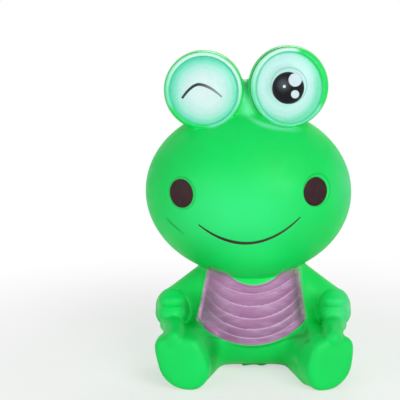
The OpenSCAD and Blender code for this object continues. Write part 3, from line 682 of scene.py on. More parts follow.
def fit_tree(rounds=2):
    tree, given, out = new_group("Fit", {"Geometry": (GEOMETRY, None)}, {"Geometry": GEOMETRY})
    geometry = given["Geometry"]
    for _ in range(rounds):
        move = tree.nodes.new("GeometryNodeSetPosition")
        pull = number(tree, "MULTIPLY", use_group(tree, form)[0], -1.0)
        plug(tree, move.inputs["Geometry"], geometry)
        plug(tree, move.inputs["Offset"],
             scaled(tree, tree.nodes.new("GeometryNodeInputNormal").outputs[0], pull))
        geometry = move.outputs[0]
    plug(tree, out["Geometry"], geometry)
    return tree


def run_tree(mesh, tree):
    """A mesh put through a node tree, as a plain mesh."""
    holder = bpy.data.objects.new("holder", mesh)
    scene.collection.objects.link(holder)
    holder.modifiers.new("tree", "NODES").node_group = tree
    bpy.context.view_layer.update()
    made = bpy.data.meshes.new_from_object(holder.evaluated_get(bpy.context.evaluated_depsgraph_get()))
    bpy.data.objects.remove(holder)
    return made


cast, fit = cast_tree(), fit_tree()
skin_mesh = run_tree(run_tree(bpy.data.meshes.new("seed"), cast), fit)
print("cast", len(skin_mesh.vertices), "vertices")

# %% [markdown]
# The carved detail is finer than the cast: rims, ribs, the smile. Instead of a fine mesh everywhere, the
# faces near each detail are split, and split again where it is finest. The details' places come first, as
# plain functions, so that the splitting, the carving and the paint all follow the same lines.

# %% Places of the face
FACE_EYES = {"right": (-37.8, 5.5), "left": (37.9, 3.9)}
FACE_EYE_R = (7.0, 8.3)
MOUTH_W, MOUTH_DROP, MOUTH_LINE_W = 57.6, 12.4, 1.6
FRONT_Y, FACE_HALF_H = MIDDLE_Y - 8, 32
CREASE = [(-47.6, -9.4), (-43.4, -13.8), (-37.0, -18.8)]
BULB_HIGHLIGHT = [(0.6, 47.5), (12.5, 41.0), (33.0, 37.6)]


def soft_step(low, high, value):
    t = np.clip((value - low) / (high - low), 0, 1)
    return t * t * (3 - 2 * t)


def mouth_line(t):
    """The smile, from its right end to its left, in the head's own frame."""
    x = (t - 0.5) * MOUTH_W
    return np.stack([x, -0.215 * HEAD_RADII[2] + 0.04 * x - MOUTH_DROP * (1 - (2 * t - 1) ** 2)], -1)


def mouth_half_w(t):
    swell = 1 + 0.25 * np.exp(-((t - 0.3) / 0.18) ** 2)
    return MOUTH_LINE_W / 2 * (0.35 + 0.65 * np.sin(np.pi * np.clip(t, 0, 1)) ** 0.5) * swell


def bent_line(t, points):
    """A curve through three points, at t of 0, a half and 1."""
    a, b, c = (np.array(p) for p in points)
    t = t[..., None]
    return (1 - t) ** 2 * a + 2 * t * (1 - t) * (2 * b - (a + c) / 2) + t ** 2 * c


def crease_line(t):
    return bent_line(t, CREASE)


def bulb_highlight_line(t):
    """A painted highlight line, from between the bulbs to under the open one."""
    return bent_line(t, BULB_HIGHLIGHT)


def along_line(places, line, samples=300):
    """Distance of each place (x, z) from a line, and the share of the way along it."""
    t = np.linspace(0, 1, samples)
    points = line(t)
    gap = np.hypot(places[:, None, 0] - points[None, :, 0], places[:, None, 1] - points[None, :, 1])
    best = gap.argmin(1)
    return gap[np.arange(len(places)), best], t[best]


def eye_share(q, middle, shift=(0, 0), more=0.0):
    """How far a place lies from the middle of a small eye, as a share of the eye's edge."""
    return np.hypot((q[:, 0] - middle[0] - shift[0]) / (FACE_EYE_R[0] + more),
                    (q[:, 2] - middle[1] - shift[1]) / (FACE_EYE_R[1] + more))


def bulb_share(q, name):
    """How far out a place lies on a bulb's front: up to 1 in its field, from 1 to 2 in the band round it."""
    field, out = (np.hypot((q[..., 0] - x) / half_w, (q[..., 2] - z) / half_h)
                  for x, z, half_w, half_h in (BULBS[name]["field"], BULBS[name]["out"]))
    band = (field - 1) / np.maximum(field - out, 1e-6)
    return np.where(field < 1, field, np.where(out < 1, 1 + np.clip(band, 0, 1), 1 + out))


print("smile", MOUTH_W, "mm wide,", MOUTH_DROP, "mm deep")

# %% Places of the belly panel
RIB_LINES = [16.0, 21.0, 26.3, 32.7, 39.8, 46.8, 54.0]
RIB_SWEEP = 0.0132
BELLY_AXIS = 2.0


def belly_left(z):
    return -23.9 - (NECK_Z - z) * 0.206


def belly_right(z):
    return 28.7 + (NECK_Z - z) * 0.135


def belly_low(x):
    return 16.8 + np.where(x < BELLY_AXIS, 0.0095, 0.0115) * (x - BELLY_AXIS) ** 2


def belly_high(x):
    return 51.0 + 0.025 * (x - 3.0) ** 2


def belly_edges(x, z):
    """Distances inside the panel from its left, right, lower and upper edges, in millimetres."""
    return x - belly_left(z), belly_right(z) - x, z - belly_low(x), belly_high(x) - z


def rib_share(x, z):
    """The share of the way down its rib, from the line above to the line below."""
    level = z - RIB_SWEEP * (x - BELLY_AXIS) ** 2
    row = np.clip(np.searchsorted(RIB_LINES, level) - 1, 0, len(RIB_LINES) - 2)
    low, high = np.take(RIB_LINES, row), np.take(RIB_LINES, row + 1)
    return np.clip((high - level) / (high - low), 0, 1)


def trunk_front(x, z):
    """Depth of the belly's front at a place, before it is carved."""
    rows = np.array(TRUNK_SHARES).T
    half_w, front, back = (np.interp(z / NECK_Z, rows[0], rows[i]) * size
                           for i, size in ((1, HIP_W / 2), (2, BELLY_REACH), (3, BACK_REACH)))
    across = np.clip(np.abs(x - TRUNK_X) / half_w, 0, 0.995)
    bow = (1 - across ** TRUNK_SQUARE) ** (1 / TRUNK_SQUARE)
    return MIDDLE_Y + (back - front) / 2 - (front + back) / 2 * bow


print("belly panel", round(belly_right(40) - belly_left(40), 1), "mm wide at 40 mm up")

# %% Splitting the faces near a detail
ENGRAVED_SHIFT = {"right": (0.3, 0.2), "left": (1.1, 0.8)}
ENGRAVED_MORE = 0.75
EYE_SINK_SHIFT = {"right": (0.1, 0.0), "left": (0.75, 0.1)}
PUPIL_MIDDLE = (OPEN_X - 0.7, BULB_Z - 0.65)
PUPIL_RING = (OPEN_X - 0.3, BULB_Z + 0.6, 10.2)
PANEL_FRONT = -30
SPLIT_SLACK = (3.0, 1.5, 0.0)
SPLIT_BEHIND = 3.5
SPLIT_FIELD_SHARE = 0.8
SPLIT_EYE_SHARES = (0.75, 1.2)
WRIST_FROM_X, WRIST_LOW, WRIST_HIGH, WRIST_FRONT = 34, 24, 50, -8


def read(items, key):
    values = np.empty(len(items) * 3, np.float32)
    items.foreach_get(key, values)
    return values.reshape(-1, 3).astype(float)


def near_detail(p, level):
    """Which places (in millimetres) lie where faces are split for the first, second or third time."""
    q = in_head(p)
    front = p[:, 1] < FRONT_Y
    slack = SPLIT_SLACK[level - 1]
    found = np.zeros(len(p), bool)
    for name in BULBS:
        share = bulb_share(q, name)
        inner = SPLIT_FIELD_SHARE if level == 2 and name == "wink" else 0
        if level < 3:
            found |= (share < 2 + slack / 4) & (share > inner) & (BULB_Y - q[:, 1] > -SPLIT_BEHIND)
    if level < 3:
        edges = np.min(belly_edges(p[:, 0], p[:, 2]), 0)
        found |= front & (edges > -slack) & (p[:, 2] < NECK_Z + 6) & (p[:, 1] > PANEL_FRONT)
    if level == 1:
        wrists = (np.abs(p[:, 0] - TRUNK_X) > WRIST_FROM_X) & (p[:, 1] < WRIST_FRONT)
        found |= wrists & (p[:, 2] > WRIST_LOW) & (p[:, 2] < WRIST_HIGH)
    face = front & (np.abs(q[:, 2]) < FACE_HALF_H)
    for name, middle in FACE_EYES.items():
        share = eye_share(q, middle, ENGRAVED_SHIFT[name], ENGRAVED_MORE)
        beyond = share > SPLIT_EYE_SHARES[0] if level == 3 else True
        found |= face & (share < SPLIT_EYE_SHARES[1]) & beyond
    faced = np.flatnonzero(face)
    for line, reach in ((mouth_line, 1.9), (crease_line, 1.5)):
        gap, _ = along_line(q[faced][:, (0, 2)], line)
        found[faced[gap < reach + slack]] = True
    return found


def split_faces(mesh, level):
    found = near_detail(read(mesh.polygons, "center") / MM, level)
    work = bmesh.new()
    work.from_mesh(mesh)
    edges = {edge for face, near in zip(work.faces, found) if near for edge in face.edges}
    bmesh.ops.subdivide_edges(work, edges=list(edges), cuts=1, use_grid_fill=True)
    work.to_mesh(mesh)
    work.free()
    return run_tree(mesh, fit)


for level in (1, 2, 3):
    skin_mesh = split_faces(skin_mesh, level)
    print("split", level, len(skin_mesh.vertices), "vertices")

# %% [markdown]
# On the real toy this detail is in the mould. Here it is a push of each vertex, in or out, by a height
# that is a plain function of its place. The fronts of the bulbs are set outright: a dome for the painted
# field, inside a raised, rounded rim.

# %% Carving the bulbs
RING_AT, RING_SPREAD = 1.38, 0.62
GROOVE_AT, GROOVE_DEPTH, GROOVE_W = 1.74, 0.45, 0.35
PUPIL_RING_DEPTH, PUPIL_RING_W = 0.3, 0.3


def carve_bulbs(p):
    q = in_head(p)
    for name, given in BULBS.items():
        share = bulb_share(q, name)
        band = np.subtract(given["out"], given["field"])[2:].mean()
        near = (share < 2) & (BULB_Y - q[:, 1] > -3)
        rim = RIM_H * np.clip(1 - ((share - RING_AT) * band / (RING_SPREAD * RIM_W)) ** 2, 0, 1) ** 1.5
        height = rim + FIELD_DOME * np.clip(1 - share ** 2, 0, 1)
        if name == "open":
            away = np.hypot(q[:, 0] - PUPIL_RING[0], q[:, 2] - PUPIL_RING[1]) - PUPIL_RING[2]
            height = height - PUPIL_RING_DEPTH * np.exp(-(away / PUPIL_RING_W) ** 2)
            x, z = q[:, 0] - given["field"][0], q[:, 2] - given["field"][1]
            left = soft_step(0.0, 0.3, (0.35 * z - 0.94 * x) / np.maximum(np.hypot(x, z), 1e-6))
            height = height - GROOVE_DEPTH * left * np.exp(-((share - GROOVE_AT) * band / GROOVE_W) ** 2)
        hold = soft_step(2 - 0.4 / band, 2 - BULB_EDGE / band, share) * near
        q[:, 1] += (BULB_Y - height - q[:, 1]) * hold
    return on_head(q)


print("rims", RIM_H, "mm high, fields domed by", FIELD_DOME, "mm")

# %% [markdown]
# The belly panel lies 1.3 mm deep, with steep walls. Each rib steps out sharply at its upper line and
# slopes back on its way down, so that light from above draws a bright line along its top. The smile, the
# small eyes, their engraved circles and the fold of the cheek are shallow grooves.

# %% Carving the belly and the face
PANEL_DEPTH, RIB_HEIGHT = 1.3, 1.0
MOUTH_DEPTH, CREASE_DEPTH, EYE_DEPTH, LINE_DEPTH = 0.6, 0.35, 0.5, 0.28
WALL_RUN, MOUTH_SPARE, CREASE_W, LINE_W = 1.1, 0.25, 0.6, 0.28


def belly_depth(p, n):
    x, z = p[:, 0], p[:, 2]
    edges = np.min(belly_edges(x, z), 0)
    faced = (n[:, 1] < -0.1) * (p[:, 1] < FRONT_Y) * (p[:, 1] > PANEL_FRONT)
    inside = soft_step(0, WALL_RUN, edges) * faced
    t = 1 - rib_share(x, z)
    lift = RIB_HEIGHT * t ** 0.8 * (1 - t ** 9) * soft_step(-29, -12, x)
    return inside * (PANEL_DEPTH - lift) * (1 - soft_step(NECK_Z - 1, NECK_Z + 4, z))


def face_depth(p):
    q = in_head(p)
    depth = np.zeros(len(p))
    faced = np.flatnonzero((p[:, 1] < FRONT_Y) & (np.abs(q[:, 2]) < FACE_HALF_H))
    face = q[faced]
    gap, t = along_line(face[:, (0, 2)], mouth_line)
    carved = MOUTH_DEPTH * np.clip(1 - (gap / (mouth_half_w(t) + MOUTH_SPARE)) ** 2, 0, 1)
    gap, t = along_line(face[:, (0, 2)], crease_line)
    carved += CREASE_DEPTH * np.sin(np.pi * t) ** 0.7 * np.exp(-(gap / CREASE_W) ** 2)
    for name, middle in FACE_EYES.items():
        share = eye_share(face, middle, EYE_SINK_SHIFT[name])
        carved += EYE_DEPTH * (1 - soft_step(0.96, 1.06, share)) * (0.7 + 0.3 * np.clip(share, 0, 1) ** 2)
        ring = eye_share(face, middle, ENGRAVED_SHIFT[name], ENGRAVED_MORE)
        carved += LINE_DEPTH * np.exp(-((ring - 1) * FACE_EYE_R[0] / LINE_W) ** 2)
    depth[faced] = carved
    return depth


def carve(mesh):
    p, n = read(mesh.vertices, "co") / MM, read(mesh.vertices, "normal")
    depth = belly_depth(p, n) + face_depth(p)
    p = carve_bulbs(p - n * depth[:, None])
    mesh.vertices.foreach_set("co", (p * MM).ravel().astype(np.float32))
    mesh.update()
    print("deepest cut", round(depth.max(), 2), "mm")


carve(skin_mesh)

# %% [markdown]
# The squeaker's flange lies in a shallow round recess under the seat, and its body stands inside the toy.
# A turned cutter with the recess, the neck and the room round the chamber is taken away from the skin.
# A Boolean keeps these edges crisp, which the soft cast could not.

# %% The skin and its seat
RECESS = [(12.8, -1.0), (12.8, 1.7), (9.5, 1.7), (9.5, 3.9), (11.6, 3.9), (11.6, 27.5)]
TURNS = 72
SHARP = math.radians(38)


def new_piece(name, mesh):
    piece = bpy.data.objects.new(name, mesh)
    scene.collection.objects.link(piece)
    for polygon in mesh.polygons:
        polygon.use_smooth = True
    return piece


def turned_cutter():
    work = bmesh.new()
    rings = []
    ways = [(math.cos(a), math.sin(a)) for a in np.linspace(0, math.tau, TURNS, endpoint=False)]
    for radius, height in RECESS:
        places = [mm((TRUNK_X + radius * x, CUP_Y + radius * y, height)) for x, y in ways]
        rings.append([work.verts.new(place) for place in places])
    for low, high in zip(rings, rings[1:]):
        for i in range(TURNS):
            j = (i + 1) % TURNS
            work.faces.new((low[i], low[j], high[j], high[i]))
    work.faces.new(list(reversed(rings[0])))
    work.faces.new(rings[-1])
    mesh = bpy.data.meshes.new("seat_cutter")
    work.to_mesh(mesh)
    work.free()
    return bpy.data.objects.new("seat_cutter", mesh)


def cut_seat(mesh):
    holder, cutter = bpy.data.objects.new("holder", mesh), turned_cutter()
    for thing in (holder, cutter):
        scene.collection.objects.link(thing)
    cut = holder.modifiers.new("seat", "BOOLEAN")
    cut.operation, cut.solver, cut.object = "DIFFERENCE", "MANIFOLD", cutter
    bpy.context.view_layer.update()
    made = bpy.data.meshes.new_from_object(holder.evaluated_get(bpy.context.evaluated_depsgraph_get()))
    for thing in (holder, cutter):
        bpy.data.objects.remove(thing)
    return made


def add_note(mesh, label, values):
    """Keeps three numbers for each vertex, for the finishes to read."""
    note = mesh.attributes.new(label, "FLOAT_VECTOR", "POINT")
    note.data.foreach_set("vector", values.ravel().astype(np.float32))


def shade_and_pale_lines(p):
    """Painted shade in creases and grooves, and paler green: a painted highlight and stray white paint."""
    q = in_head(p)
    dark, pale = np.zeros(len(p)), np.zeros(len(p))
    faced = np.flatnonzero((p[:, 1] < MIDDLE_Y - 6) & (np.abs(q[:, 2]) < 70))
    # Painted shade in the cheek's crease.
    gap, t = along_line(q[faced][:, (0, 2)], crease_line)
    dark[faced] += 0.75 * np.sin(np.pi * t) ** 0.6 * np.exp(-(gap / CREASE_W) ** 2)
    # A painted highlight along the foot of the open bulb.
    gap, t = along_line(q[faced][:, (0, 2)], bulb_highlight_line)
    pale[faced] += np.sin(np.pi * t) ** 0.5 * np.exp(-(gap / 1.1) ** 2)
    # Stray white paint on the saddle between the bulbs, a real pale tint.
    between = np.exp(-((q[:, 0] - BULB_SHIFT - 0.4) / 4.5) ** 2)
    pale += 0.9 * between * soft_step(44, 50, q[:, 2]) * (q[:, 1] < 4)
    # Painted shade on the engraved circles round the small eyes.
    for name, middle in FACE_EYES.items():
        ring = eye_share(q, middle, ENGRAVED_SHIFT[name], ENGRAVED_MORE)
        dark += 0.4 * np.exp(-((ring - 1) * FACE_EYE_R[0] / 0.35) ** 2) * (p[:, 1] < MIDDLE_Y)
    # Painted shade below the panel's lower edge and beside its left edge.
    left, right, low, high = belly_edges(p[:, 0], p[:, 2])
    front = (p[:, 1] < MIDDLE_Y - 6) & (p[:, 2] < NECK_Z)
    under = np.exp(-((low + 1.3) / 0.7) ** 2) * soft_step(-14, 2, p[:, 0]) * (left > 0) * (right > -1)
    aside = np.exp(-((left + 0.7) / 0.6) ** 2) * soft_step(30, 40, p[:, 2])
    dark += front * (0.6 * under + 0.55 * aside)
    return np.clip(np.stack([dark, pale, np.zeros(len(p))], -1), 0, 1)


skin_mesh = cut_seat(skin_mesh)
add_note(skin_mesh, "shade_and_pale", shade_and_pale_lines(read(skin_mesh.vertices, "co") / MM))
skin = new_piece("vinyl_skin", skin_mesh)
skin_mesh.set_sharp_from_angle(angle=SHARP)
skin_tree = BVHTree.FromObject(skin, bpy.context.evaluated_depsgraph_get())
triangles = sum(len(face.vertices) - 2 for face in skin_mesh.polygons)
print("skin", len(skin_mesh.vertices), "vertices", triangles, "triangles")

# %% [markdown]
# Each sprayed coat is a thin closed shell of its own on the skin. Its outline is laid out flat, in the
# frame of what carries it, and every point is then cast on to the skin, so the coat follows each groove
# and rib under it. Attributes keep the flat places, for the finishes to read.

# %% Laying a coat on the skin
COAT_SINK = 0.05


def settle(points, way=(0, 1, 0), reach=9.0):
    """Places moved on to the skin along a direction, and the skin's normals there."""
    way = Vector(way).normalized()
    flat = points.reshape(-1, 3)
    hits, normals = np.empty_like(flat), np.empty_like(flat)
    for i, point in enumerate(flat):
        place = Vector(point * MM)
        hit, normal, *_ = skin_tree.ray_cast(place - way * reach * MM, way, 2 * reach * MM)
        if hit is None:
            hit, normal, *_ = skin_tree.find_nearest(place)
        hits[i], normals[i] = hit / MM, normal
    return hits.reshape(points.shape), normals.reshape(points.shape)


def coat_faces(rows, cols, wrap):
    """Faces of two grids, closed round their edges; a wrapped grid is a disc from its middle outwards."""
    under = rows * cols
    at = np.arange(under).reshape(rows, cols)
    if wrap:
        at = np.concatenate([at, at[:, :1]], 1)
    a, b, c, d = at[:-1, :-1], at[:-1, 1:], at[1:, 1:], at[1:, :-1]
    top = np.stack([a, b, c, d], -1).reshape(-1, 4)
    faces = [top, top[:, ::-1] + under]
    borders = [at[-1]] if wrap else [at[0], at[-1], at[:, 0], at[:, -1]]
    for line in borders:
        faces.append(np.stack([line[:-1], line[1:], line[1:] + under, line[:-1] + under], -1))
    return np.concatenate(faces).tolist()


def add_coat(name, node, points, lift, wrap=False, way=(0, 1, 0), notes=None):
    """A coat from a grid of places, with its attributes, standing for its CAD node."""
    hits, normals = settle(points, way)
    rows, cols = hits.shape[:2]
    corners = np.concatenate([(hits + normals * by).reshape(-1, 3) for by in (lift, -COAT_SINK)])
    mesh = bpy.data.meshes.new(name)
    mesh.from_pydata(corners * MM, [], coat_faces(rows, cols, wrap))
    for label, values in (notes or {}).items():
        add_note(mesh, label, np.tile(values.reshape(-1, 3), (2, 1)))
    work = bmesh.new()
    work.from_mesh(mesh)
    bmesh.ops.remove_doubles(work, verts=work.verts, dist=1e-7)
    bmesh.ops.recalc_face_normals(work, faces=work.faces)
    if work.calc_volume(signed=True) < 0:
        bmesh.ops.reverse_faces(work, faces=work.faces)
    work.to_mesh(mesh)
    work.free()
    piece = new_piece(name, mesh)
    mesh.set_sharp_from_angle(angle=SHARP)
    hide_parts(node)
    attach(piece, "toy")
    print(name, len(mesh.vertices), "vertices")
    return piece


# %% [markdown]
# The fields of the two eyes are discs laid out in rings. A disc reaches over the rim to its outer foot,
# because the mask leaves only the outer edge green. The pupil, its glints and the line of the wink lie on
# top of them.

# %% Painted eyes


def disc_points(x, z, radii, cols, y):
    """Rings of places round a middle, in the head's own frame, as places in the toy."""
    a = np.linspace(0, math.tau, cols, endpoint=False)
    r = np.asarray(radii, float)[:, None]
    flat = np.stack([x + r * np.cos(a), np.full((len(radii), cols), y), z + r * np.sin(a)], -1)
    return on_head(flat.reshape(-1, 3)).reshape(flat.shape), flat


def add_field(name, node, rows, cols=132):
    """A field that follows its own outline inside, and nears the bulb's outline outside."""
    a = np.linspace(0, math.tau, cols, endpoint=False)
    field, out = (np.stack([x + np.cos(a) * half_w, z + np.sin(a) * half_h], -1)
                  for x, z, half_w, half_h in (BULBS[name]["field"], BULBS[name]["out"]))
    middle = np.array(BULBS[name]["field"][:2])
    shares = np.concatenate([np.linspace(0, 0.95, rows), np.linspace(0.965, 1.9, 26)])
    inside, beyond = np.minimum(shares, 1)[:, None, None], np.maximum(shares - 1, 0)[:, None, None]
    flat = middle + (field - middle) * inside + (out - field) * beyond
    own = np.stack([flat[..., 0], np.full(flat.shape[:2], BULB_Y), flat[..., 1]], -1)
    way = (field - middle) / np.linalg.norm(field - middle, axis=1)[:, None] * shares[:, None, None]
    ring = np.hypot(flat[..., 0] - PUPIL_RING[0], flat[..., 1] - PUPIL_RING[1]) - PUPIL_RING[2]
    notes = {"place": np.stack([way[..., 0], ring, way[..., 1]], -1)}
    return add_coat(node, node, on_head(own.reshape(-1, 3)).reshape(own.shape), 0.06, wrap=True,
                    notes=notes)


wink_field = add_field("wink", "wink_eye_field", 30)
open_field = add_field("open", "open_eye_field", 58)

PUPIL_R = 9.1
GLINTS = [(0.45, 0.49, 0.42), (0.42, -0.40, 0.26), (-0.24, 0.11, 0.10)]
points, flat = disc_points(*PUPIL_MIDDLE, np.linspace(0, PUPIL_R, 26), 96, BULB_Y)
pupil = add_coat("pupil", "pupil", points, 0.11, wrap=True,
                 notes={"place": (flat - (PUPIL_MIDDLE[0], BULB_Y, PUPIL_MIDDLE[1])) / PUPIL_R})

# %% [markdown]
# The glints are stamped on the pupil by one pad. They are made as three discs of rings and joined, so
# that they are one piece, as they are one coat.

# %% Glints: three discs joined as one piece


def join_pieces(pieces):
    with bpy.context.temp_override(active_object=pieces[0], selected_editable_objects=pieces):
        bpy.ops.object.join()
    return pieces[0]


def glint_disc(index, x, z, r):
    centre = (PUPIL_MIDDLE[0] + x * PUPIL_R, BULB_Y, PUPIL_MIDDLE[1] + z * PUPIL_R)
    points, flat = disc_points(centre[0], centre[2], np.linspace(0, r * PUPIL_R, 10), 48, BULB_Y)
    name = "pupil_highlights" if index == 0 else f"glint_{index}"
    return add_coat(name, "pupil_highlights", points, 0.16, wrap=True,
                    notes={"place": (flat - centre) / (r * PUPIL_R)})


glints = [glint_disc(i, *g) for i, g in enumerate(GLINTS)]

# %% [markdown]
# The wink and the smile are brush lines: strips whose width swells and tapers. A strip is a grid too, long
# one way and seven points wide the other.

# %% Brush lines
ACROSS = np.linspace(-1, 1, 7)


def wink_curve(t):
    """The closed eye, from its right end to its left, about the field's middle."""
    way = np.where(t < 0.43, (0.43 - t) / 0.43, (t - 0.43) / 0.57)
    return np.stack([-11.6 + 22.6 * t, 3.2 - 7.6 * way ** 1.75], -1) + (WINK_X, BULB_Z)


def strip_points(curve, half_w, count, depth):
    t = np.linspace(0, 1, count)
    line = curve(t)
    along = np.gradient(line, axis=0)
    along /= np.linalg.norm(along, axis=1)[:, None]
    across = np.stack([-along[:, 1], along[:, 0]], -1) * half_w(t)[:, None]
    flat = line[:, None, :] + ACROSS[None, :, None] * across[:, None, :]
    y = depth(flat[..., 0], flat[..., 1])
    own = np.stack([flat[..., 0], y, flat[..., 1]], -1)
    share = np.stack(np.broadcast_arrays(t[:, None], ACROSS[None, :], np.zeros((1, 1))), -1)
    return on_head(own.reshape(-1, 3)).reshape(own.shape), share


def face_y(x, z):
    """Depth of the round head at a place on the face."""
    slope = math.radians(BALL_SLOPE)
    along, up = x * math.cos(slope) - z * math.sin(slope), x * math.sin(slope) + z * math.cos(slope)
    left_over = 1 - (along / HEAD_RADII[0]) ** 2 - (up / HEAD_RADII[2]) ** 2
    return -HEAD_RADII[1] * np.sqrt(np.maximum(left_over, 0))


def wink_half_w(t):
    return 0.95 * (0.7 + 0.3 * np.sin(np.pi * t)) * (1 - 0.25 * t)


points, share = strip_points(wink_curve, wink_half_w, 90, lambda x, z: np.full(x.shape, BULB_Y))
wink = add_coat("wink_line", "wink_line", points, 0.11, notes={"place": share})
points, share = strip_points(mouth_line, mouth_half_w, 240, face_y)
mouth = add_coat("mouth_line", "mouth_line", points, 0.05, notes={"place": share})

# %% [markdown]
# The two small eyes are ovals, a little sunk in the cheeks. An oval is a disc in rings too, laid on the
# round of the head and then cast on to the skin.

# %% Small brown eyes


def add_face_eye(name, middle):
    radii = np.linspace(0, 1.0, 26)
    a = np.linspace(0, math.tau, 84, endpoint=False)
    share = np.stack([radii[:, None] * np.cos(a), np.zeros((26, 84)), radii[:, None] * np.sin(a)], -1)
    own = share * (FACE_EYE_R[0], 0, FACE_EYE_R[1]) + (middle[0], 0, middle[1])
    own[..., 1] = face_y(own[..., 0], own[..., 2])
    points = on_head(own.reshape(-1, 3)).reshape(own.shape)
    node = name + "_face_eye"
    return add_coat(node, node, points, 0.06, wrap=True, notes={"place": share})


face_eyes = {name: add_face_eye(name, middle) for name, middle in FACE_EYES.items()}

# %% [markdown]
# The belly's coat is a grid between four curved edges. The spray went a little past the panel, most of
# all on the frog's left, so the grid does too. Two attributes keep the distances from the panel's edges
# and the place on the rib.

# %% Belly coat
OVERSPRAY = {"left": 0.8, "right": 2.6, "low": 0.7, "high": 0.9}
CHIN_Z = 60.0


def belly_grid(cols, rows):
    u, v = np.meshgrid(np.linspace(0, 1, cols), np.linspace(0, 1, rows))
    x, z = np.full(u.shape, BELLY_AXIS), np.full(u.shape, 40.0)
    for _ in range(8):
        left, right = belly_left(z) - OVERSPRAY["left"], belly_right(z) + OVERSPRAY["right"]
        x = left + (right - left) * u
        low, high = belly_low(x) - OVERSPRAY["low"], np.minimum(belly_high(x) + OVERSPRAY["high"], CHIN_Z)
        z = low + (high - low) * v
    return x, z


x, z = belly_grid(136, 128)
left, right, low, high = belly_edges(x, z)
belly = add_coat("belly_coat", "belly_coat", np.stack([x, trunk_front(x, z), z], -1), 0.09,
                 way=(0, 0.96, -0.27), notes={"edges": np.stack([left, right, high], -1),
                                               "rib": np.stack([rib_share(x, z), low, x], -1)})
glint_piece = join_pieces(glints)

# %% [markdown]
# Now the finishes. Colours are written as they look on screen, and one function turns them into the
# linear values that a shader needs.

# %% Finish helpers


def srgb(r, g, b):
    shares = (c / 255 for c in (r, g, b))
    return tuple((c / 12.92 if c < 0.0404 else ((c + 0.055) / 1.055) ** 2.4) for c in shares) + (1.0,)


def blend_colour(tree, share, first, second):
    node = tree.nodes.new("ShaderNodeMix")
    node.data_type = "RGBA"
    for index, value in ((0, share), (6, first), (7, second)):
        plug(tree, node.inputs[index], value)
    return node.outputs[2]


def noise(tree, place, scale, detail=2.0, roughness=0.5):
    node = tree.nodes.new("ShaderNodeTexNoise")
    for label, value in (("Vector", place), ("Scale", scale), ("Detail", detail), ("Roughness", roughness)):
        plug(tree, node.inputs[label], value)
    return node.outputs[0]


def object_place(tree):
    return tree.nodes.new("ShaderNodeTexCoord").outputs["Object"]


def attribute(tree, label):
    node = tree.nodes.new("ShaderNodeAttribute")
    node.attribute_name = label
    return node.outputs["Vector"]


def spot(tree, place, centre, radii):
    """One at a place's middle, falling softly to nothing at its radii."""
    away = vector(tree, "DIVIDE", vector(tree, "SUBTRACT", place, mm(centre)), mm(radii))
    return ease(tree, vector(tree, "LENGTH", away), 1.0, 0.0)


def new_material(name):
    material = bpy.data.materials.new(name)
    material.use_nodes = True
    return material, material.node_tree, material.node_tree.nodes["Principled BSDF"]


def dress(piece, material):
    """Gives a piece its material."""
    if piece.data.materials:
        for slot in piece.material_slots:
            slot.material = material
    else:
        piece.data.materials.append(material)
    print(piece.name, "wears", material.name, "of", len(material.node_tree.nodes), "nodes")


def finish_with(tree, shader, colour, roughness, height, depth):
    """Feeds a shader's colour and roughness, and its normal through a bump of a given depth in mm."""
    bump = tree.nodes.new("ShaderNodeBump")
    bump.inputs["Strength"].default_value = 1.0
    bump.inputs["Distance"].default_value = depth * MM
    plug(tree, bump.inputs["Height"], height)
    plug(tree, shader.inputs["Base Color"], colour)
    plug(tree, shader.inputs["Roughness"], roughness)
    plug(tree, shader.inputs["Normal"], bump.outputs[0])


# %% [markdown]
# Two effects are in every finish, so they are groups. Grain is the fine unevenness of cast vinyl and of
# spray. Vinyl is the green itself, a little mottled, with painted light laid on it: a paler painted glow
# over the face, a painted sheen on the frog's left cheek and arm, and painted shade by its right arm and
# leg and along the lines that the skin keeps as an attribute. The coats use it too, at their edges, where
# the spray thins out and the green shows through.

# %% Grain and vinyl groups
GREEN_DEEP, GREEN, GREEN_PAINTED_GLOW, GREEN_PAINTED_SHEEN, GREEN_SHADE = (
    srgb(10, 208, 84), srgb(12, 224, 98), srgb(48, 234, 128), srgb(84, 226, 150), srgb(0, 140, 40))


def grain_group():
    tree, given, out = new_group("Grain", {"Scale": (FLOAT, 900.0), "Speckle": (FLOAT, 0.5)},
                                 {"Height": FLOAT, "Wear": FLOAT}, "ShaderNodeTree")
    place = object_place(tree)
    fine = noise(tree, place, given["Scale"], 3.0, 0.6)
    dots = noise(tree, place, number(tree, "MULTIPLY", given["Scale"], 2.7), 1.0)
    plug(tree, out["Height"], number(tree, "ADD", fine, number(tree, "MULTIPLY", dots, given["Speckle"])))
    plug(tree, out["Wear"], ease(tree, noise(tree, place, 55.0, 4.0, 0.62), 0.42, 0.72))
    return tree


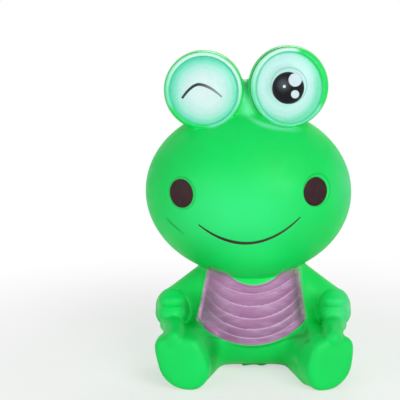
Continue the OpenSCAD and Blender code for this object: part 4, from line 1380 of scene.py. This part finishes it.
def vinyl_group():
    tree, given, out = new_group("Vinyl", {"Mottling": (FLOAT, 0.5), "Glow": (FLOAT, 1.0)},
                                 {"Colour": COLOUR, "Roughness": FLOAT}, "ShaderNodeTree")
    place = object_place(tree)
    cloud = ease(tree, noise(tree, place, 26.0, 3.0, 0.55), 0.35, 0.68)
    colour = blend_colour(tree, number(tree, "MULTIPLY", cloud, given["Mottling"]), GREEN, GREEN_DEEP)
    # Painted light: a paler glow over the middle of the face.
    painted_glow = spot(tree, place, (-8, -36, 94), (58, 60, 36))
    colour = blend_colour(tree, number(tree, "MULTIPLY", painted_glow, given["Glow"]), colour, GREEN_PAINTED_GLOW)
    # Painted highlight: a sheen on the frog's left cheek and arm, on the key lamp's side.
    painted_sheen = number(tree, "MAXIMUM", spot(tree, place, (66, -8, 112), (26, 48, 38)),
                   spot(tree, place, (58, -20, 38), (16, 34, 22)))
    colour = blend_colour(tree, number(tree, "MULTIPLY", painted_sheen, 0.75), colour, GREEN_PAINTED_SHEEN)
    # Painted shade in the gap by the frog's right arm and on the inner side of its right leg.
    painted_gap_shade = number(tree, "MAXIMUM", spot(tree, place, (-32, -16, 34), (9, 22, 17)),
                    spot(tree, place, (-22, -28, 14), (9, 24, 20)))
    # From the skin's attribute: painted shade, and paler green that is partly a painted highlight, partly
    # stray white paint.
    dark, pale, _ = parts_of(tree, attribute(tree, "shade_and_pale"))
    colour = blend_colour(tree, number(tree, "MULTIPLY", pale, 0.8), colour, srgb(112, 236, 176))
    dark = number(tree, "MAXIMUM", dark, number(tree, "MULTIPLY", painted_gap_shade, 0.7))
    colour = blend_colour(tree, dark, colour, GREEN_SHADE)
    plug(tree, out["Colour"], colour)
    plug(tree, out["Roughness"], ease(tree, noise(tree, place, 70.0, 3.0), 0.3, 0.75, 0.42, 0.55))
    return tree


grain, vinyl = grain_group(), vinyl_group()
print("grain", len(grain.nodes), "nodes, vinyl", len(vinyl.nodes), "nodes")


def finish_paint(tree, shader, colour, rough, wear, scale, speckle, depth, shine=None):
    """A finish whose roughness is worn by the grain, and whose bump is the grain."""
    fine = use_group(tree, grain, scale=scale, speckle=speckle)
    rough = number(tree, "ADD", rough, number(tree, "MULTIPLY", fine["Wear"], wear))
    finish_with(tree, shader, colour, rough, fine["Height"], depth)
    if shine is not None:
        shader.inputs["Specular IOR Level"].default_value = shine


# %% The skin's finish


def skin_material():
    material, tree, shader = new_material("green_vinyl")
    green = use_group(tree, vinyl)
    finish_paint(tree, shader, green["Colour"], green["Roughness"], 0.07, 700.0, 0.4, 0.03, shine=0.22)
    return material


dress(skin, skin_material())
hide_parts("vinyl_body")
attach(skin, "toy")

# %% [markdown]
# An eye field is white with a grey breath in its middle and turns mint towards the rim, more on one side.
# A thin line of painted shadow lies inside the rim. The rim is mint with a painted highlight on its upper
# side, and at its outer foot the paint thins out over the green. Painted shade darkens the groove left of
# the open eye and its pupil's engraved circle. On the open eye the mask slipped, and a stretch of the rim
# stayed green.

# %% Eye fields


def ramp(tree, value, stops):
    """A colour that changes softly with a value: (value, colour) pairs."""
    node = tree.nodes.new("ShaderNodeValToRGB")
    node.color_ramp.interpolation = "EASE"
    points = node.color_ramp.elements
    for _ in range(len(stops) - len(points)):
        points.new(0.5)
    for point, (at, colour) in zip(points, stops):
        point.position = at
        point.color = colour
    plug(tree, node.inputs[0], value)
    return node.outputs[0]


WINK_STOPS = [(0.0, srgb(216, 236, 236)), (0.35, srgb(212, 238, 236)), (0.58, srgb(196, 234, 228)),
              (0.76, srgb(168, 232, 216)), (0.88, srgb(128, 224, 196)), (0.98, srgb(92, 214, 176))]
OPEN_STOPS = [(0.0, srgb(182, 224, 218)), (0.5, srgb(178, 226, 219)), (0.66, srgb(192, 237, 231)),
              (0.82, srgb(182, 232, 224)), (0.93, srgb(144, 226, 202)), (1.0, srgb(112, 220, 180))]
RIM_MINT, RIM_HIGHLIGHT, FIELD_SHADOW, GROOVE_SHADE = (
    srgb(116, 232, 186), srgb(204, 250, 234), srgb(66, 196, 150), srgb(34, 78, 70))


def field_material(name, stops, shift, bare_way, bare_from, bare_at, groove):
    material, tree, shader = new_material(name)
    across, ring, up = parts_of(tree, attribute(tree, "place"))
    flat = tree.nodes.new("ShaderNodeCombineXYZ")
    plug(tree, flat.inputs[0], across)
    plug(tree, flat.inputs[2], up)
    place = flat.outputs[0]
    r = vector(tree, "LENGTH", place)
    off = vector(tree, "LENGTH", vector(tree, "SUBTRACT", place, (shift[0], 0, shift[1])))
    cloud = noise(tree, object_place(tree), 120.0, 3.0)
    uneven = number(tree, "MULTIPLY", number(tree, "SUBTRACT", cloud, 0.5), 0.10)
    colour = ramp(tree, number(tree, "ADD", off, uneven), stops)
    line = number(tree, "MULTIPLY", ease(tree, r, 0.95, 1.0), ease(tree, r, 1.16, 1.06))
    colour = blend_colour(tree, number(tree, "MULTIPLY", line, 0.6), colour, FIELD_SHADOW)
    x, _, z = parts_of(tree, vector(tree, "NORMALIZE", place))
    # Painted highlight: the rim turns pale on its upper side, toward the light.
    lit = ease(tree, number(tree, "ADD", z, number(tree, "MULTIPLY", x, 0.25)), -0.5, 0.8)
    rim = blend_colour(tree, lit, RIM_MINT, RIM_HIGHLIGHT)
    colour = blend_colour(tree, ease(tree, r, 1.10, 1.28), colour, rim)
    # Painted shade in the groove on the left of the open eye's rim.
    cut = number(tree, "MULTIPLY", ease(tree, r, 1.66, 1.74), ease(tree, r, 1.84, 1.77))
    leftward = number(tree, "SUBTRACT", number(tree, "MULTIPLY", z, 0.35), number(tree, "MULTIPLY", x, 0.94))
    side = ease(tree, leftward, 0.1, 0.5, 0.0, groove)
    toward = number(tree, "ADD", number(tree, "MULTIPLY", x, bare_way[0]),
                    number(tree, "MULTIPLY", z, bare_way[1]))
    bare = number(tree, "MULTIPLY", ease(tree, toward, bare_from, bare_from + 0.18),
                  ease(tree, r, bare_at, bare_at + 0.16))
    edge = ease(tree, number(tree, "ADD", r, uneven), 1.58, 1.74)
    green = use_group(tree, vinyl)
    colour = blend_colour(tree, number(tree, "MAXIMUM", bare, edge), colour, green["Colour"])
    colour = blend_colour(tree, number(tree, "MULTIPLY", cut, side), colour, GROOVE_SHADE)
    # Painted shade on the engraved circle round the pupil.
    engraved = ease(tree, number(tree, "ABSOLUTE", ring), 0.45, 0.1, 0.0, 0.45 if groove else 0.0)
    colour = blend_colour(tree, engraved, colour, srgb(96, 140, 136))
    finish_paint(tree, shader, colour, 0.27, 0.1, 1500.0, 0.2, 0.012, shine=0.35)
    return material


wink_paint = field_material("wink_field_paint", WINK_STOPS, (0.03, -0.03), (-0.5, -0.87), 0.72, 1.0, 0.0)
open_paint = field_material("open_field_paint", OPEN_STOPS, (-0.12, 0.08), (0.93, 0.37), 0.5, 0.98, 0.8)
dress(wink_field, wink_paint)
dress(open_field, open_paint)

# %% [markdown]
# Ink and glints. The pupil is black with a grey breath left of its middle, as if the light came through
# it. The line of the wink is dark where the brush set down and fades to grey at its other end.

# %% Ink and glints
INK, INK_GREY, GLINT_WHITE = srgb(5, 8, 12), srgb(84, 92, 98), srgb(205, 226, 232)


def pupil_material():
    material, tree, shader = new_material("pupil_ink")
    place = attribute(tree, "place")
    away = vector(tree, "LENGTH", vector(tree, "SUBTRACT", place, (-0.28, 0, 0.22)))
    breath = number(tree, "MULTIPLY", ease(tree, away, 0.62, 0.0), 0.75)
    rim = number(tree, "MULTIPLY", ease(tree, vector(tree, "LENGTH", place), 0.84, 1.0), 0.25)
    colour = blend_colour(tree, number(tree, "MAXIMUM", breath, rim), INK, INK_GREY)
    finish_paint(tree, shader, colour, 0.22, 0.1, 1500.0, 0.2, 0.01, shine=0.2)
    return material


def wink_material():
    material, tree, shader = new_material("wink_ink")
    t, across, _ = parts_of(tree, attribute(tree, "place"))
    fade = ease(tree, t, 0.35, 1.0, 0.0, 0.8)
    soft = number(tree, "MULTIPLY", ease(tree, number(tree, "ABSOLUTE", across), 0.55, 1.0), 0.35)
    colour = blend_colour(tree, number(tree, "MAXIMUM", fade, soft), srgb(14, 34, 36), srgb(150, 172, 164))
    finish_paint(tree, shader, colour, 0.3, 0.1, 1500.0, 0.2, 0.01)
    return material


def glint_material():
    material, tree, shader = new_material("glint_white")
    edge = ease(tree, vector(tree, "LENGTH", attribute(tree, "place")), 0.8, 1.0)
    colour = blend_colour(tree, number(tree, "MULTIPLY", edge, 0.5), GLINT_WHITE, srgb(150, 165, 172))
    finish_paint(tree, shader, colour, 0.25, 0.1, 1500.0, 0.2, 0.01)
    return material


dress(pupil, pupil_material())
dress(wink, wink_material())
dress(glint_piece, glint_material())

# %% [markdown]
# The small eyes and the smile are one matt, dark brown. A warmer cloud runs through the eyes, and the
# smile turns olive towards the frog's left, where the spray was thin. Both let the green in at the edge.

# %% Brown of the face
BROWN, BROWN_WARM, OLIVE = srgb(44, 18, 22), srgb(66, 30, 32), srgb(40, 62, 10)


def face_eye_material():
    material, tree, shader = new_material("face_brown")
    place = attribute(tree, "place")
    r = vector(tree, "LENGTH", place)
    cloud = noise(tree, object_place(tree), 260.0, 3.0)
    colour = blend_colour(tree, ease(tree, cloud, 0.4, 0.75, 0.0, 0.5), BROWN, BROWN_WARM)
    edge = ease(tree, number(tree, "ADD", r, number(tree, "MULTIPLY", cloud, 0.04)), 0.975, 1.03)
    colour = blend_colour(tree, number(tree, "MULTIPLY", edge, 0.7), colour, use_group(tree, vinyl)["Colour"])
    finish_paint(tree, shader, colour, 0.42, 0.12, 1100.0, 0.4, 0.02, shine=0.2)
    return material


def mouth_material():
    material, tree, shader = new_material("mouth_brown")
    t, across, _ = parts_of(tree, attribute(tree, "place"))
    colour = blend_colour(tree, ease(tree, t, 0.45, 1.0), srgb(36, 20, 8), OLIVE)
    soft = ease(tree, number(tree, "ABSOLUTE", across), 0.75, 1.1, 0.0, 0.5)
    colour = blend_colour(tree, soft, colour, use_group(tree, vinyl)["Colour"])
    finish_paint(tree, shader, colour, 0.45, 0.1, 1100.0, 0.4, 0.02)
    return material


brown = face_eye_material()
for eye in face_eyes.values():
    dress(eye, brown)
dress(mouth, mouth_material())

# %% [markdown]
# The belly's mauve is streaky, with painted light on it: painted shade down each rib and in its groove,
# a painted highlight along each rib's top and on the panel's left wall, and painted shade by its right
# wall. It thins out over the green at the edges: raggedly on the frog's right, in a soft haze on its left,
# and grey under the chin.

# %% Belly mauve
MAUVE, MAUVE_LIGHT, MAUVE_RIB_SHADE, CHIN_GREY, MAUVE_HIGHLIGHT, MAUVE_WALL_SHADE = (
    srgb(176, 118, 168), srgb(196, 150, 194), srgb(150, 92, 142), srgb(128, 140, 116), srgb(226, 186, 222),
    srgb(112, 96, 108))


def belly_material():
    material, tree, shader = new_material("belly_mauve")
    left, right, high = parts_of(tree, attribute(tree, "edges"))
    down, low, x = parts_of(tree, attribute(tree, "rib"))
    place = object_place(tree)
    streaks = noise(tree, vector(tree, "MULTIPLY", place, (1.0, 1.0, 3.2)), 60.0, 4.0, 0.6)
    ragged = number(tree, "MULTIPLY", number(tree, "SUBTRACT", noise(tree, place, 420.0, 4.0, 0.7), 0.5), 2.6)
    colour = blend_colour(tree, ease(tree, streaks, 0.42, 0.72), MAUVE, MAUVE_LIGHT)
    across = number(tree, "MULTIPLY", ease(tree, x, -24.0, -7.0), ease(tree, x, 31.0, 22.0))
    # Painted shade on the lower part of each rib, which faces down.
    rib_shade = number(tree, "MULTIPLY", ease(tree, down, 0.3, 0.95, 0.0, 0.45), across)
    colour = blend_colour(tree, rib_shade, colour, MAUVE_RIB_SHADE)
    # Painted highlight along the top of each rib.
    rib_highlight = number(tree, "MULTIPLY", ease(tree, down, 0.15, 0.05), across)
    colour = blend_colour(tree, number(tree, "MULTIPLY", rib_highlight, 0.7), colour, MAUVE_HIGHLIGHT)
    # Painted shade in each rib's groove.
    groove_shade = number(tree, "MULTIPLY", ease(tree, down, 0.93, 0.98), 0.35)
    colour = blend_colour(tree, groove_shade, colour, srgb(104, 58, 98))
    # Painted highlight on the panel's left wall, which faces the key lamp.
    wall_highlight = number(tree, "MULTIPLY", ease(tree, left, 2.2, 0.6), ease(tree, ragged, -0.4, 0.5))
    colour = blend_colour(tree, number(tree, "MULTIPLY", wall_highlight, 0.6), colour, MAUVE_HIGHLIGHT)
    # Painted shade from the panel's right wall.
    shade = number(tree, "MULTIPLY", ease(tree, number(tree, "ADD", right, ragged), 6.0, 2.0),
                   ease(tree, number(tree, "ADD", right, ragged), -0.6, 0.8))
    colour = blend_colour(tree, number(tree, "MULTIPLY", shade, 0.75), colour, MAUVE_WALL_SHADE)
    z = parts_of(tree, place)[2]
    colour = blend_colour(tree, ease(tree, z, 53 * MM, 58 * MM, 0.0, 0.5), colour, CHIN_GREY)
    hem = ease(tree, number(tree, "MULTIPLY_ADD", ragged, 0.4 * MM, z), 57.6 * MM, 59.2 * MM)
    bare = ease(tree, number(tree, "ADD", left, number(tree, "MULTIPLY", ragged, 0.5)), 0.2, -0.3)
    bare = number(tree, "MAXIMUM", bare, hem)
    hems = ((right, 0.6, -2.3, 0.9), (low, 0.1, -0.45, 0.25), (high, 0.0, -0.6, 0.2))
    for edge, full, none, rough_share in hems:
        near = number(tree, "ADD", edge, number(tree, "MULTIPLY", ragged, rough_share))
        bare = number(tree, "MAXIMUM", bare, ease(tree, near, full, none))
    colour = blend_colour(tree, bare, colour, use_group(tree, vinyl)["Colour"])
    finish_paint(tree, shader, colour, 0.36, 0.16, 900.0, 0.8, 0.03)
    return material


dress(belly, belly_material())

# %% [markdown]
# The squeaker under the seat is a bought-in part of natural polyethylene: milky white, waxy, with a fine
# swirl from the moulding. Its CAD nodes have the true shape, so they stay and only get this finish.

# %% Squeaker and reed


def waxy_material(name, warm, pale, rough_low, rough_high):
    material, tree, shader = new_material(name)
    place = object_place(tree)
    swirl = noise(tree, vector(tree, "MULTIPLY", place, (1.0, 1.0, 0.4)), 140.0, 4.0, 0.6)
    colour = blend_colour(tree, ease(tree, swirl, 0.35, 0.7), warm, pale)
    fine = use_group(tree, grain, scale=1200.0, speckle=0.5)
    rough = ease(tree, fine["Wear"], 0.0, 1.0, rough_low, rough_high)
    finish_with(tree, shader, colour, rough, fine["Height"], 0.02)
    return material


squeaker_wax = waxy_material("squeaker_wax", srgb(224, 222, 212), srgb(242, 241, 235), 0.38, 0.55)
for node in ("squeaker_cup", "reed_holder", "reed_clip"):
    dress(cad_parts[node], squeaker_wax)
reed_film = waxy_material("reed_film", srgb(178, 190, 196), srgb(206, 216, 220), 0.12, 0.25)
dress(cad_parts["reed"], reed_film)

# %% Finish
visual_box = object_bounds()
for label, box in (("CAD box", cad_box), ("visual box", visual_box)):
    print(label, [tuple(round(c, 4) for c in corner) for corner in box])
